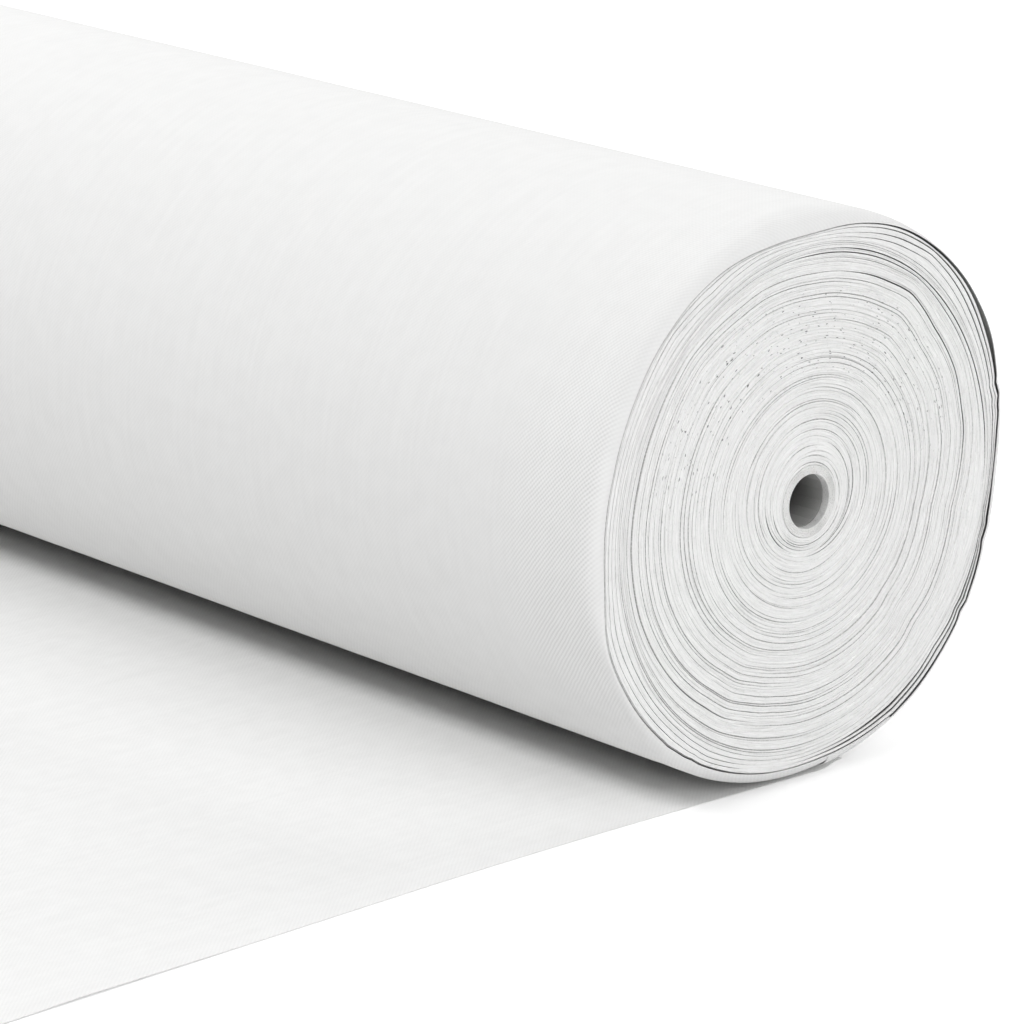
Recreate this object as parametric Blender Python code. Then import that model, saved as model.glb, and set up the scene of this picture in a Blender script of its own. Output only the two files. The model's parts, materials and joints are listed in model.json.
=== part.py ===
"""Roll of frost protection fleece, partly unrolled on the ground.

A wide web of thin white nonwoven is wound on a paper core. Its free end comes off
underneath, round the back of the roll, and lies flat in front of it.

Metres, +Z up. The roll's axis runs along X, the free web lies towards -Y, and the
origin is on the ground under the axis, half way along the roll. An angle round the
roll is counted from its lowest line, up the back (+Y), over the top and down the front.
"""

import math

import bmesh
import bpy
import numpy as np

# Driving dimensions of the web and of the roll
WEB_WIDTH = 1.600
WEB_THICKNESS = 0.0010
ROLL_RADIUS = 0.200
CLEARANCE = 0.0003

# Free web on the ground
LAID_LENGTH = 0.750
LIFT_BEHIND = 0.045
LIFT_LAP = 0.010
LAID_DRIFT = 0.026
DRIFT_RUN = 0.400
DRIFT_STEPS = 8

# Outermost turn, which lies loose and is drawn in at both edges
OUTER_GAP = 0.0006
OUTER_STEPS_PER_TURN = 60
LIFT_BEND = 0.020
LIFT_STEPS = 5
TAIL_PAST_BOTTOM = math.radians(4)
SHOULDER_RUN = 0.020
SHOULDER_DROP = 0.0074
SHOULDER_STEPS = 3
SHOULDER_INSET = 0.003

# Winding, one unbroken band that grows outwards with a thin slot between its turns
WINDING_TURNS = 22
STEPS_PER_TURN = 32
TURN_SLOT = 0.0009
BAND_END = 0.0007
SELVEDGE_DRIFT = 0.0024
TURNS_PER_DRIFT = 3.6
FLAT_COUNT = 8
FLAT_DEPTH = 0.0018
SLACK_GAP = 0.0050
SLACK_FROM = math.radians(20)
SLACK_TO = math.radians(165)

# Paper core, with an inner ply that stops short of both mouths
BORE_RADIUS = 0.01905
LINER_THICKNESS = 0.0007
LINER_LEAD = 0.166
LINER_SEAM = 0.0010
LINER_TIP = 0.0040
LINER_SETBACK = 0.0070
LINER_STEPS_PER_TURN = 16
CORE_WALL = 0.0050
CORE_STEPS = 48

# Adhesive tabs that hold the start of the web on the core
TAPE_THICKNESS = 0.0002
TAPE_WIDTH = 0.050
TAPE_INSET = 0.120
TAPE_ARC = math.radians(75)
TAPE_STEPS = 10

# Sizes that follow from the ones above
LAID_TOP = WEB_THICKNESS
AXIS_HEIGHT = LAID_TOP + CLEARANCE + ROLL_RADIUS
HALF_WIDTH = WEB_WIDTH / 2
CORE_INNER = BORE_RADIUS + LINER_THICKNESS + CLEARANCE
CORE_OUTER = CORE_INNER + CORE_WALL
TAPE_INNER = CORE_OUTER + CLEARANCE
TAPE_OUTER = TAPE_INNER + TAPE_THICKNESS
WINDING_INNER = (TAPE_OUTER + CLEARANCE) / math.cos(math.pi / STEPS_PER_TURN)
WINDING_OUTER = ROLL_RADIUS - WEB_THICKNESS - OUTER_GAP
TURN_PITCH = (WINDING_OUTER - WINDING_INNER) / WINDING_TURNS
FULL_TURN = 2 * math.pi


def clear_scene():
    """Remove every object, so that only the roll is in the file."""
    for item in list(bpy.data.objects):
        bpy.data.objects.remove(item, do_unlink=True)


def finish(name, colour, roughness):
    """Return a non-metallic material."""
    material = bpy.data.materials.new(name)
    material.use_nodes = True
    shader = material.node_tree.nodes["Principled BSDF"]
    shader.inputs["Base Color"].default_value = (*colour, 1.0)
    shader.inputs["Roughness"].default_value = roughness
    shader.inputs["Metallic"].default_value = 0.0
    return material


def add_object(name, bm, material, parent=None):
    """Turn a finished bmesh into a named object with one material."""
    bmesh.ops.recalc_face_normals(bm, faces=bm.faces)
    mesh = bpy.data.meshes.new(name)
    bm.to_mesh(mesh)
    bm.free()
    mesh.shade_smooth()
    mesh.set_sharp_from_angle(angle=math.radians(32))
    mesh.materials.append(material)
    item = bpy.data.objects.new(name, mesh)
    bpy.context.collection.objects.link(item)
    item.parent = parent
    return item


def add_axis(name, height, parent=None):
    """Add an empty that carries the pieces which move on it."""
    axis = bpy.data.objects.new(name, None)
    axis.location = (0, 0, height)
    axis.parent = parent
    bpy.context.collection.objects.link(axis)
    return axis


def lay_strip(steps):
    """Return a closed strip of cloth or paper.

    Each step is a line across the strip, a list of (outer point, inner point) pairs
    in the same order from one edge to the other.
    """
    bm = bmesh.new()
    rows = [[[bm.verts.new(point) for point in pair] for pair in step] for step in steps]
    for near, far in zip(rows, rows[1:]):
        for left in range(len(near) - 1):
            right = left + 1
            bm.faces.new((near[left][0], near[right][0], far[right][0], far[left][0]))
            bm.faces.new((near[left][1], far[left][1], far[right][1], near[right][1]))
        for edge in (0, -1):
            bm.faces.new((near[edge][0], far[edge][0], far[edge][1], near[edge][1]))
    for end in (rows[0], rows[-1]):
        for left, right in zip(end, end[1:]):
            bm.faces.new((left[0], left[1], right[1], right[0]))
    return bm


def on_roll(x, radius, angle):
    """Place a point by its distance from the roll's axis and its angle from the bottom."""
    return (x, radius * math.sin(angle), -radius * math.cos(angle))


def laid_drift(y):
    """Sideways drift of the free web, which was not drawn off quite square."""
    run = (LIFT_BEHIND + LIFT_LAP - y) / DRIFT_RUN
    return LAID_DRIFT * math.sin(min(run, 1) * math.pi / 2)


def build_laid_web(material):
    """The free web, flat on the ground in front of the roll and just under it."""
    back = LIFT_BEHIND + LIFT_LAP
    lines = [back - DRIFT_RUN * step / DRIFT_STEPS for step in range(DRIFT_STEPS + 1)]
    lines.append(-LAID_LENGTH)
    steps = []
    for y in lines:
        edges = (-HALF_WIDTH - laid_drift(y), HALF_WIDTH - laid_drift(y))
        steps.append([((x, y, LAID_TOP), (x, y, 0)) for x in edges])
    return add_object("laid_web", lay_strip(steps), material)


def shoulder_columns():
    """Lines along the roll at which its drawn-in edges are shaped, with their drop."""
    columns = []
    for step in range(SHOULDER_STEPS + 1):
        share = step / SHOULDER_STEPS
        columns.append((HALF_WIDTH - SHOULDER_RUN * (1 - share), SHOULDER_DROP * share**2))
    return [(-x, drop) for x, drop in reversed(columns)] + columns


def lift_curve():
    """Outside of the web from the ground up to where it meets the roll.

    Yields (y, z, angle of the inward side, share of the way up). The web leaves the
    ground on a soft bend, and the line that it takes touches the roll.
    """
    touch = 2 * math.atan(LIFT_BEHIND / ROLL_RADIUS)
    start = np.array((LIFT_BEHIND - LIFT_BEND, -ROLL_RADIUS))
    bend = np.array((LIFT_BEHIND, -ROLL_RADIUS))
    meet = np.array(on_roll(0, ROLL_RADIUS, touch)[1:])
    for step in range(LIFT_STEPS):
        share = step / LIFT_STEPS
        y, z = (1 - share) ** 2 * start + 2 * share * (1 - share) * bend + share**2 * meet
        rise = (1 - share) * (bend - start) + share * (meet - bend)
        yield y, z, math.atan2(rise[1], rise[0]), share


def build_outer_turn(material, parent):
    """The loose outermost turn, from the ground round the back to just past the bottom."""
    steps = []
    for y, z, angle, share in lift_curve():
        inward = (-math.sin(angle), math.cos(angle))
        step = []
        for x, drop in shoulder_columns():
            pair = []
            for depth in (drop * share**2, drop * share**2 + WEB_THICKNESS):
                pair.append((x, y + depth * inward[0], z + depth * inward[1]))
            step.append(pair)
        steps.append(step)
    touch = 2 * math.atan(LIFT_BEHIND / ROLL_RADIUS)
    sweep = FULL_TURN + TAIL_PAST_BOTTOM - touch
    count = round(sweep / FULL_TURN * OUTER_STEPS_PER_TURN)
    for number in range(count + 1):
        angle = touch + sweep * number / count
        step = []
        for x, drop in shoulder_columns():
            radius = ROLL_RADIUS - drop
            step.append((on_roll(x, radius, angle), on_roll(x, radius - WEB_THICKNESS, angle)))
        steps.append(step)
    return add_object("outer_turn", lay_strip(steps), material, parent)


def band_radii(turn):
    """Inner and outer radius of the wound band, by how many turns out it is."""
    inner = WINDING_INNER + TURN_PITCH * (turn - 1) + TURN_SLOT
    outer = WINDING_INNER + TURN_PITCH * turn
    return max(inner, WINDING_INNER), min(outer, WINDING_OUTER)


def settled(radius, angle):
    """Radius once the roll has lain: soft flats round it, and slack at its back.

    Both grow outwards, and neither reaches past the round winding.
    """
    share = (radius - WINDING_INNER) / (WINDING_OUTER - WINDING_INNER)
    flats = FLAT_DEPTH * abs(math.sin(FLAT_COUNT * (angle - TAIL_PAST_BOTTOM) / 2))
    along = (angle % FULL_TURN - SLACK_FROM) / (SLACK_TO - SLACK_FROM)
    slack = SLACK_GAP * math.sin(math.pi * along) ** 2 if 0 < along < 1 else 0
    return radius - share**2 * (flats + slack)


def band_edges(turn, outer):
    """Left and right edge of the band, whose turns are not wound quite true.

    Turns near the outside stand back under the drawn-in edge of the outermost turn.
    """
    depth = min((WINDING_OUTER - outer) / SHOULDER_DROP, 1)
    half = HALF_WIDTH - (SHOULDER_RUN + SHOULDER_INSET) * (1 - math.sqrt(depth))
    drift = SELVEDGE_DRIFT * (1 + math.sin(FULL_TURN * turn / TURNS_PER_DRIFT)) / 2
    return drift - half, half + drift - SELVEDGE_DRIFT


def winding_steps():
    """List (turn, angle) along the band, from the core outwards.

    The band ends under the outermost turn's end, and every turn has its steps at the
    same angles.
    """
    first = BAND_END / TURN_PITCH
    last = WINDING_TURNS + 1 - (TURN_SLOT + BAND_END) / TURN_PITCH
    count = int((last - first) * STEPS_PER_TURN)
    steps = []
    for number in range(count, -1, -1):
        back = number / STEPS_PER_TURN
        steps.append((last - back, TAIL_PAST_BOTTOM + FULL_TURN * back))
    return steps


def distance_to_line(points, starts, ends):
    """Distance of each point from its own piece of line."""
    run = ends - starts
    share = ((points - starts) * run).sum(axis=1) / (run * run).sum(axis=1)
    nearest = starts + run * np.clip(share, 0, 1)[:, None]
    return np.linalg.norm(points - nearest, axis=1)


def least_gap(insides, outsides):
    """Smallest gap between the outside of a turn and the inside of the next one."""
    inner = np.array(insides)[STEPS_PER_TURN:]
    outer = np.array(outsides)[: len(inner)]
    gaps = [
        distance_to_line(inner[:-1], outer[:-1], outer[1:]),
        distance_to_line(inner[1:], outer[:-1], outer[1:]),
        distance_to_line(outer[:-1], inner[:-1], inner[1:]),
        distance_to_line(outer[1:], inner[:-1], inner[1:]),
    ]
    return min(gap.min() for gap in gaps)


def build_wound_web(material, parent):
    """The winding: one unbroken band in a spiral, from the core to the outermost turn."""
    steps = []
    insides = []
    outsides = []
    for turn, angle in winding_steps():
        inner, outer = band_radii(turn)
        edges = band_edges(turn, outer)
        inner = settled(inner, angle)
        outer = settled(outer, angle)
        steps.append([(on_roll(x, outer, angle), on_roll(x, inner, angle)) for x in edges])
        insides.append(on_roll(0, inner, angle)[1:])
        outsides.append(on_roll(0, outer, angle)[1:])
    print(f"wound_web: least gap to itself {least_gap(insides, outsides) * 1000:.3f} mm")
    return add_object("wound_web", lay_strip(steps), material, parent)


def build_core_tube(material, parent):
    """The body of the paper core: a wall section spun round the axis."""
    bm = bmesh.new()
    corners = [
        bm.verts.new((x, 0, -radius))
        for x, radius in (
            (-HALF_WIDTH, CORE_INNER),
            (HALF_WIDTH, CORE_INNER),
            (HALF_WIDTH, CORE_OUTER),
            (-HALF_WIDTH, CORE_OUTER),
        )
    ]
    edges = [bm.edges.new((a, b)) for a, b in zip(corners, corners[1:] + corners[:1])]
    bmesh.ops.spin(
        bm,
        geom=corners + edges,
        cent=(0, 0, 0),
        axis=(1, 0, 0),
        dvec=(0, 0, 0),
        angle=FULL_TURN,
        steps=CORE_STEPS,
        use_merge=True,
    )
    return add_object("core_tube", bm, material, parent)


def build_core_liner(material, parent):
    """The core's inner ply: a paper ribbon wound edge to edge, cut square at both ends."""
    half = HALF_WIDTH - LINER_SETBACK
    first = LINER_TIP / LINER_LEAD
    last = (2 * half - LINER_TIP - LINER_SEAM) / LINER_LEAD + 1
    count = math.ceil((last - first) * LINER_STEPS_PER_TURN)
    outer = BORE_RADIUS + LINER_THICKNESS
    steps = []
    for number in range(count + 1):
        turn = first + (last - first) * number / count
        left = max(LINER_LEAD * (turn - 1) + LINER_SEAM - half, -half)
        right = min(LINER_LEAD * turn - half, half)
        angle = FULL_TURN * turn
        steps.append(
            [(on_roll(x, outer, angle), on_roll(x, BORE_RADIUS, angle)) for x in (left, right)]
        )
    return add_object("core_liner", lay_strip(steps), material, parent)


def build_start_tapes(material, parent):
    """Three adhesive tabs under the first stretch of the web, along the core."""
    web_start = winding_steps()[0][1]
    reach = HALF_WIDTH - TAPE_INSET
    places = {"left": -reach, "middle": 0, "right": reach}
    tapes = []
    for side, centre in places.items():
        edges = (centre - TAPE_WIDTH / 2, centre + TAPE_WIDTH / 2)
        steps = []
        for number in range(TAPE_STEPS + 1):
            angle = web_start - TAPE_ARC * number / TAPE_STEPS
            steps.append(
                [(on_roll(x, TAPE_OUTER, angle), on_roll(x, TAPE_INNER, angle)) for x in edges]
            )
        tapes.append(add_object(f"start_tape_{side}", lay_strip(steps), material, parent))
    return tapes


def build_roll():
    """Build the whole roll, with its fixed web and the two bodies that move."""
    clear_scene()
    travel_axis = add_axis("roll_travel_axis", AXIS_HEIGHT)
    turn_axis = add_axis("roll_turn_axis", 0, travel_axis)
    build_laid_web(finish("laid_fleece", (0.86, 0.865, 0.865), 0.92))
    build_outer_turn(finish("outer_fleece", (0.82, 0.825, 0.825), 0.92), travel_axis)
    build_wound_web(finish("wound_fleece", (0.84, 0.845, 0.84), 0.94), turn_axis)
    build_core_tube(finish("core_board", (0.74, 0.73, 0.70), 0.85), turn_axis)
    build_core_liner(finish("core_paper", (0.46, 0.46, 0.45), 0.88), turn_axis)
    build_start_tapes(finish("clear_adhesive", (0.78, 0.76, 0.68), 0.45), turn_axis)


build_roll()
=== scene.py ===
"""Looks of a partly unrolled roll of frost protection fleece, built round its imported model.

Metres, +Z up. The roll's axis runs along X, the free web lies towards -Y, and the photographed
end is the one at +X. An angle round the roll is counted from its lowest line, up the back (+Y),
over the top and down the front.
"""

import json
import logging
import math
from dataclasses import dataclass
from enum import Enum
from typing import ClassVar, Sequence

import bmesh
import bpy
import numpy as np
from mathutils import Matrix, Vector, noise


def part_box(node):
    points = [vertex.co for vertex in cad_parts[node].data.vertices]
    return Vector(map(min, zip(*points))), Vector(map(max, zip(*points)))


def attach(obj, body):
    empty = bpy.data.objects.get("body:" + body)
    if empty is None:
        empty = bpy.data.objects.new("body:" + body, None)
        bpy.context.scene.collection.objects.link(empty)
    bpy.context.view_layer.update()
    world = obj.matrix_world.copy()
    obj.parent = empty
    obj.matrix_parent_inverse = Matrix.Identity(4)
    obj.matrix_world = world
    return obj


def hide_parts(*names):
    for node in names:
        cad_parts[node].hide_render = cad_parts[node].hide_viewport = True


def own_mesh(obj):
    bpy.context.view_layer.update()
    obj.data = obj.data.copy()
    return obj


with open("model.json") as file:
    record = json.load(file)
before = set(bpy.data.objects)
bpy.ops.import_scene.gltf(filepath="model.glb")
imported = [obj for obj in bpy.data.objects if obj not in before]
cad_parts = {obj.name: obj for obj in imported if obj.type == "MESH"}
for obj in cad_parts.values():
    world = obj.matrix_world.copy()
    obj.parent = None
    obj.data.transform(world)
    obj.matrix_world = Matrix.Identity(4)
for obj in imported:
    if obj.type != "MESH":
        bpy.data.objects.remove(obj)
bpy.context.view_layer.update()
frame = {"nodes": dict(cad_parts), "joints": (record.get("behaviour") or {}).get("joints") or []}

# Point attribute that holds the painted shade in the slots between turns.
PAINTED_SLOT_SHADE = "slot_depth"
FULL_TURN = 2 * math.pi

log = logging.getLogger("fleece_roll")

Curve = Sequence[tuple[float, float]]
Colour = tuple[float, float, float, float]
Socket = bpy.types.NodeSocket


class Body(Enum):
    """The bodies that the pieces ride on."""

    LAID = "laid_web"
    OUTER = "outer_turn"
    ROLL = "roll"


class Slot(Enum):
    """The record's material slots."""

    LAID = "laid_fleece"
    OUTER = "outer_fleece"
    WOUND = "wound_fleece"
    BOARD = "core_board"


class End(Enum):
    """The two ends of the roll, as signs along X."""

    RIGHT = 1
    LEFT = -1

    @property
    def word(self) -> str:
        """The end's name in a piece's name."""
        return self.name.lower()


@dataclass(frozen=True)
class RollFrame:
    """Sizes that every piece shares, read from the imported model.

    Attributes:
        axis_height: Height of the roll's axis.
        half_width: Half the width of the web.
        radius: Distance from the axis down to the lowest line of the outermost turn.
        core_outer: Radius of the core's outside.
        core_inner: Radius of the core board's bore.
        web_front: Place of the laid web's cut end.
        web_back: Place of the laid web's back edge.
    """

    axis_height: float
    half_width: float
    radius: float
    core_outer: float
    core_inner: float
    web_front: float
    web_back: float

    @classmethod
    def read(cls) -> "RollFrame":
        """Read the shared sizes from the boxes of the model's nodes.

        Returns:
            The roll's sizes.
        """
        core_low, core_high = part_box("core_tube")
        laid_low, laid_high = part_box("laid_web")
        axis = (core_low.z + core_high.z) / 2
        liner_gap = 0.0003
        return cls(
            axis_height=axis,
            half_width=core_high.x,
            radius=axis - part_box("outer_turn")[0].z,
            core_outer=core_high.y,
            core_inner=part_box("core_liner")[1].y + liner_gap,
            web_front=laid_low.y,
            web_back=laid_high.y,
        )

    def on_roll(self, x: np.ndarray, radius: np.ndarray, angle: np.ndarray) -> np.ndarray:
        """Place points by their distance from the axis and their angle from the bottom.

        Args:
            x: Place along the roll.
            radius: Distance from the axis.
            angle: Angle from the lowest line, in radians.

        Returns:
            The points, with their coordinates last.
        """
        x, radius, angle = np.broadcast_arrays(x, radius, angle)
        height = self.axis_height - radius * np.cos(angle)
        return np.stack([x, radius * np.sin(angle), height], axis=-1)


def smooth(low: float, high: float, value: np.ndarray) -> np.ndarray:
    """Ease from 0 at low to 1 at high.

    Args:
        low: Value at which the result is 0.
        high: Value at which the result is 1.
        value: Where to evaluate.

    Returns:
        The eased share.
    """
    share = np.clip((np.asarray(value, float) - low) / (high - low), 0, 1)
    return share * share * (3 - 2 * share)


def round_curve(points: Curve, angle: np.ndarray) -> np.ndarray:
    """Read a closed curve round the roll, given by a few points.

    Args:
        points: Pairs of angle in degrees and value, from 0 to under 360.
        angle: Where to read it, in radians.

    Returns:
        The smoothly interpolated values.
    """
    places = np.array([p[0] for p in points], float)
    values = np.tile(np.array([p[1] for p in points], float), 3)
    places = np.concatenate([places - 360, places, places + 360])
    slopes = np.gradient(values, places)
    at = np.degrees(np.asarray(angle, float)) % 360
    left = np.clip(np.searchsorted(places, at, side="right") - 1, 0, len(places) - 2)
    run = places[left + 1] - places[left]
    t = (at - places[left]) / run
    start = values[left] * (1 + 2 * t) * (1 - t) ** 2 + slopes[left] * run * t * (1 - t) ** 2
    end = values[left + 1] * t * t * (3 - 2 * t) + slopes[left + 1] * run * t * t * (t - 1)
    return start + end


def cloud(points: np.ndarray, size: Sequence[float], seed: float) -> np.ndarray:
    """Read smooth noise at each point.

    Args:
        points: Points, with their coordinates last.
        size: Size of the clouds along each coordinate, in metres.
        seed: Shifts the pattern.

    Returns:
        One value from about -1 to 1 for each point.
    """
    flat = points.reshape(-1, 3) / np.array(size)
    values = [noise.noise(Vector((x + seed, y, z))) for x, y, z in flat.tolist()]
    return np.array(values).reshape(points.shape[:-1])


def quads(index: np.ndarray) -> np.ndarray:
    """List the four corners of each cell of a grid of vertex numbers."""
    corners = (index[:-1, :-1], index[:-1, 1:], index[1:, 1:], index[1:, :-1])
    return np.stack(corners, axis=-1).reshape(-1, 4)


def add_mesh(name: str, points: np.ndarray, faces: np.ndarray, uv: np.ndarray) -> bpy.types.Object:
    """Make an object from points and quads, with its faces pointing out.

    Args:
        name: Name of the piece.
        points: Vertex places.
        faces: Four vertex numbers for each face.
        uv: Place of each vertex on the cloth, in metres.

    Returns:
        The object, at the origin.
    """
    mesh = bpy.data.meshes.new(name)
    mesh.from_pydata(points.tolist(), [], faces.tolist())
    layer = mesh.uv_layers.new(name="UVMap")
    corner = np.zeros(len(mesh.loops), np.int32)
    mesh.loops.foreach_get("vertex_index", corner)
    layer.data.foreach_set("uv", uv[corner].astype(np.float32).ravel())
    weld_shell(mesh)
    item = bpy.data.objects.new(name, mesh)
    bpy.context.scene.collection.objects.link(item)
    return item


def weld_shell(mesh: bpy.types.Mesh, reach: float = 0.000004) -> None:
    """Merge the points of a closed mesh that meet, and turn its faces outwards.

    Args:
        mesh: The mesh, which is changed.
        reach: Distance under which points are merged.
    """
    shell = bmesh.new()
    shell.from_mesh(mesh)
    bmesh.ops.remove_doubles(shell, verts=shell.verts, dist=reach)
    bmesh.ops.dissolve_degenerate(shell, edges=shell.edges, dist=reach / 2)
    bmesh.ops.recalc_face_normals(shell, faces=shell.faces)
    shell.to_mesh(mesh)
    shell.free()


def shade(item: bpy.types.Object, sharp_degrees: float) -> None:
    """Shade a piece smooth, apart from corners sharper than an angle."""
    item.data.shade_smooth()
    item.data.set_sharp_from_angle(angle=math.radians(sharp_degrees))


def closed_sheet(name: str, outer: np.ndarray, inner: np.ndarray, uv: np.ndarray) -> bpy.types.Object:
    """Make a thin closed sheet from the grids of its two faces.

    Args:
        name: Name of the piece.
        outer: Grid of points on one face.
        inner: Grid of points on the other face.
        uv: Grid of places on the cloth, in metres.

    Returns:
        The object, shaded smooth with sharp rims.
    """
    rows, columns = outer.shape[:2]
    count = rows * columns
    index = np.arange(count).reshape(rows, columns)
    ring = np.concatenate([index[0, :-1], index[:-1, -1], index[-1, :0:-1], index[:0:-1, 0]])
    after = np.roll(ring, -1)
    rim = np.stack([ring, ring + count, after + count, after], axis=1)
    faces = np.concatenate([quads(index), quads(index + count)[:, ::-1], rim])
    points = np.concatenate([outer.reshape(-1, 3), inner.reshape(-1, 3)])
    item = add_mesh(name, points, faces, np.tile(uv.reshape(-1, 2), (2, 1)))
    shade(item, 50)
    return item


def turned(name: str, sizes: RollFrame, profile: np.ndarray, sides: int) -> bpy.types.Object:
    """Turn a closed profile round the roll's axis.

    Args:
        name: Name of the piece.
        sizes: The roll's sizes.
        profile: Points (x, radius) of the closed outline.
        sides: Number of steps round the axis.

    Returns:
        The object, shaded smooth with sharp corners.
    """
    angles = np.arange(sides) * FULL_TURN / sides
    grid = sizes.on_roll(profile[None, :, 0], profile[None, :, 1], angles[:, None])
    index = np.arange(grid.shape[0] * grid.shape[1]).reshape(grid.shape[:2])
    closed = np.pad(index, ((0, 1), (0, 1)), mode="wrap")
    along = np.linalg.norm(np.diff(profile, axis=0, prepend=profile[:1]), axis=1).cumsum()
    u, v = np.meshgrid(along, angles * profile[:, 1].max())
    item = add_mesh(name, grid.reshape(-1, 3), quads(closed), np.stack([u, v], -1).reshape(-1, 2))
    shade(item, 35)
    return item


class NodeMaker:
    """Short ways to add and link nodes in one tree."""

    def __init__(self, tree: bpy.types.NodeTree) -> None:
        """Keep the tree that the nodes go into."""
        self.tree = tree

    def add(self, kind: str, **settings: object) -> bpy.types.Node:
        """Add a node and set its properties.

        Args:
            kind: Blender's name of the node's type.
            settings: Properties of the node.

        Returns:
            The node.
        """
        node = self.tree.nodes.new(kind)
        for name, value in settings.items():
            setattr(node, name, value)
        return node

    def feed(self, socket: Socket, value: object) -> None:
        """Link a socket into an input, or set the input to a plain value.

        Args:
            socket: The input.
            value: The socket that is linked, or the plain value.
        """
        if isinstance(value, bpy.types.NodeSocket):
            self.tree.links.new(value, socket)
        else:
            socket.default_value = value

    def math(self, operation: str, *values: object) -> Socket:
        """Work out one number from others.

        Args:
            operation: Name of the operation.
            values: Sockets or numbers that go in.

        Returns:
            The result's socket.
        """
        node = self.add("ShaderNodeMath", operation=operation)
        for socket, value in zip(node.inputs, values):
            self.feed(socket, value)
        return node.outputs[0]

    def total(self, *values: object) -> Socket:
        """Add up sockets and numbers.

        Args:
            values: Sockets or numbers.

        Returns:
            The sum.
        """
        result = values[0]
        for value in values[1:]:
            result = self.math("ADD", result, value)
        return result

    def product(self, *values: object) -> Socket:
        """Multiply sockets and numbers.

        Args:
            values: Sockets or numbers.

        Returns:
            The product.
        """
        result = values[0]
        for value in values[1:]:
            result = self.math("MULTIPLY", result, value)
        return result

    def ranged(self, value: object, low: object, high: object, start: object = 0.0,
               end: object = 1.0, curve: str = "SMOOTHSTEP") -> Socket:
        """Map a value from one range to another.

        Args:
            value: What is mapped.
            low: Value that gives start.
            high: Value that gives end.
            start: Result at low.
            end: Result at high.
            curve: How it eases between them.

        Returns:
            The result's socket.
        """
        node = self.add("ShaderNodeMapRange", interpolation_type=curve)
        names = ("Value", "From Min", "From Max", "To Min", "To Max")
        for name, given in zip(names, (value, low, high, start, end)):
            self.feed(node.inputs[name], given)
        return node.outputs[0]

    def vector(self, x: object, y: object, z: object) -> Socket:
        """Join three numbers to a vector.

        Args:
            x: First number.
            y: Second number.
            z: Third number.

        Returns:
            The vector's socket.
        """
        node = self.add("ShaderNodeCombineXYZ")
        for socket, value in zip(node.inputs, (x, y, z)):
            self.feed(socket, value)
        return node.outputs[0]

    def parts(self, value: Socket) -> list[Socket]:
        """Split a vector into its three numbers.

        Args:
            value: The vector's socket.

        Returns:
            The numbers' sockets.
        """
        node = self.add("ShaderNodeSeparateXYZ")
        self.feed(node.inputs[0], value)
        return list(node.outputs)

    def noise(self, place: object, scale: float, detail: float = 0.0) -> Socket:
        """Read smooth noise at a vector.

        Args:
            place: Where it is read.
            scale: How fine it is, in clouds for each unit of the vector.
            detail: How many finer layers it has.

        Returns:
            The noise's value, from about 0 to 1.
        """
        node = self.add("ShaderNodeTexNoise")
        self.feed(node.inputs["Vector"], place)
        self.feed(node.inputs["Scale"], scale)
        self.feed(node.inputs["Detail"], detail)
        return node.outputs[0]

    def line_noise(self, place: object, scale: float) -> Socket:
        """Read smooth noise along one number.

        Args:
            place: Where it is read.
            scale: How fine it is, in clouds for each unit of the number.

        Returns:
            The noise's value, from about 0 to 1.
        """
        node = self.add("ShaderNodeTexNoise", noise_dimensions="1D")
        self.feed(node.inputs["W"], place)
        self.feed(node.inputs["Scale"], scale)
        self.feed(node.inputs["Detail"], 0.0)
        return node.outputs[0]

    def mixed(self, factor: object, first: object, second: object) -> Socket:
        """Mix two colours by a factor that varies over the surface.

        Args:
            factor: Share of the second colour.
            first: Colour at 0.
            second: Colour at 1.

        Returns:
            The mixed colour.
        """
        node = self.add("ShaderNodeMix", data_type="RGBA")
        for place, value in ((0, factor), (6, first), (7, second)):
            self.feed(node.inputs[place], value)
        return node.outputs[2]

    def between(self, factor: object, first: object, second: object) -> Socket:
        """Mix two numbers by a factor.

        Args:
            factor: Share of the second number.
            first: Number at 0.
            second: Number at 1.

        Returns:
            The mixed number.
        """
        node = self.add("ShaderNodeMix", data_type="FLOAT")
        for place, value in ((0, factor), (2, first), (3, second)):
            self.feed(node.inputs[place], value)
        return node.outputs[0]

    def pick(self, number: Socket, values: Sequence[object]) -> Socket:
        """Choose a number from a list.

        Args:
            number: Which one is chosen.
            values: The numbers or their sockets.

        Returns:
            The chosen number.
        """
        switch = self.add("GeometryNodeIndexSwitch", data_type="FLOAT")
        while len(switch.index_switch_items) < len(values):
            switch.index_switch_items.new()
        for socket, value in zip(switch.inputs, (number, *values)):
            self.feed(socket, value)
        return switch.outputs[0]

    def store(self, mesh: Socket, name: str, value: Socket, kind: str, domain: str) -> Socket:
        """Keep a value on a mesh under a name.

        Args:
            mesh: The mesh.
            name: Name of the attribute.
            value: What is kept.
            kind: Kind of the attribute.
            domain: Where it is kept.

        Returns:
            The mesh with the attribute.
        """
        node = self.add("GeometryNodeStoreNamedAttribute", data_type=kind, domain=domain)
        node.inputs["Name"].default_value = name
        self.feed(node.inputs["Geometry"], mesh)
        self.feed(node.inputs["Value"], value)
        return node.outputs[0]


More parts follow.
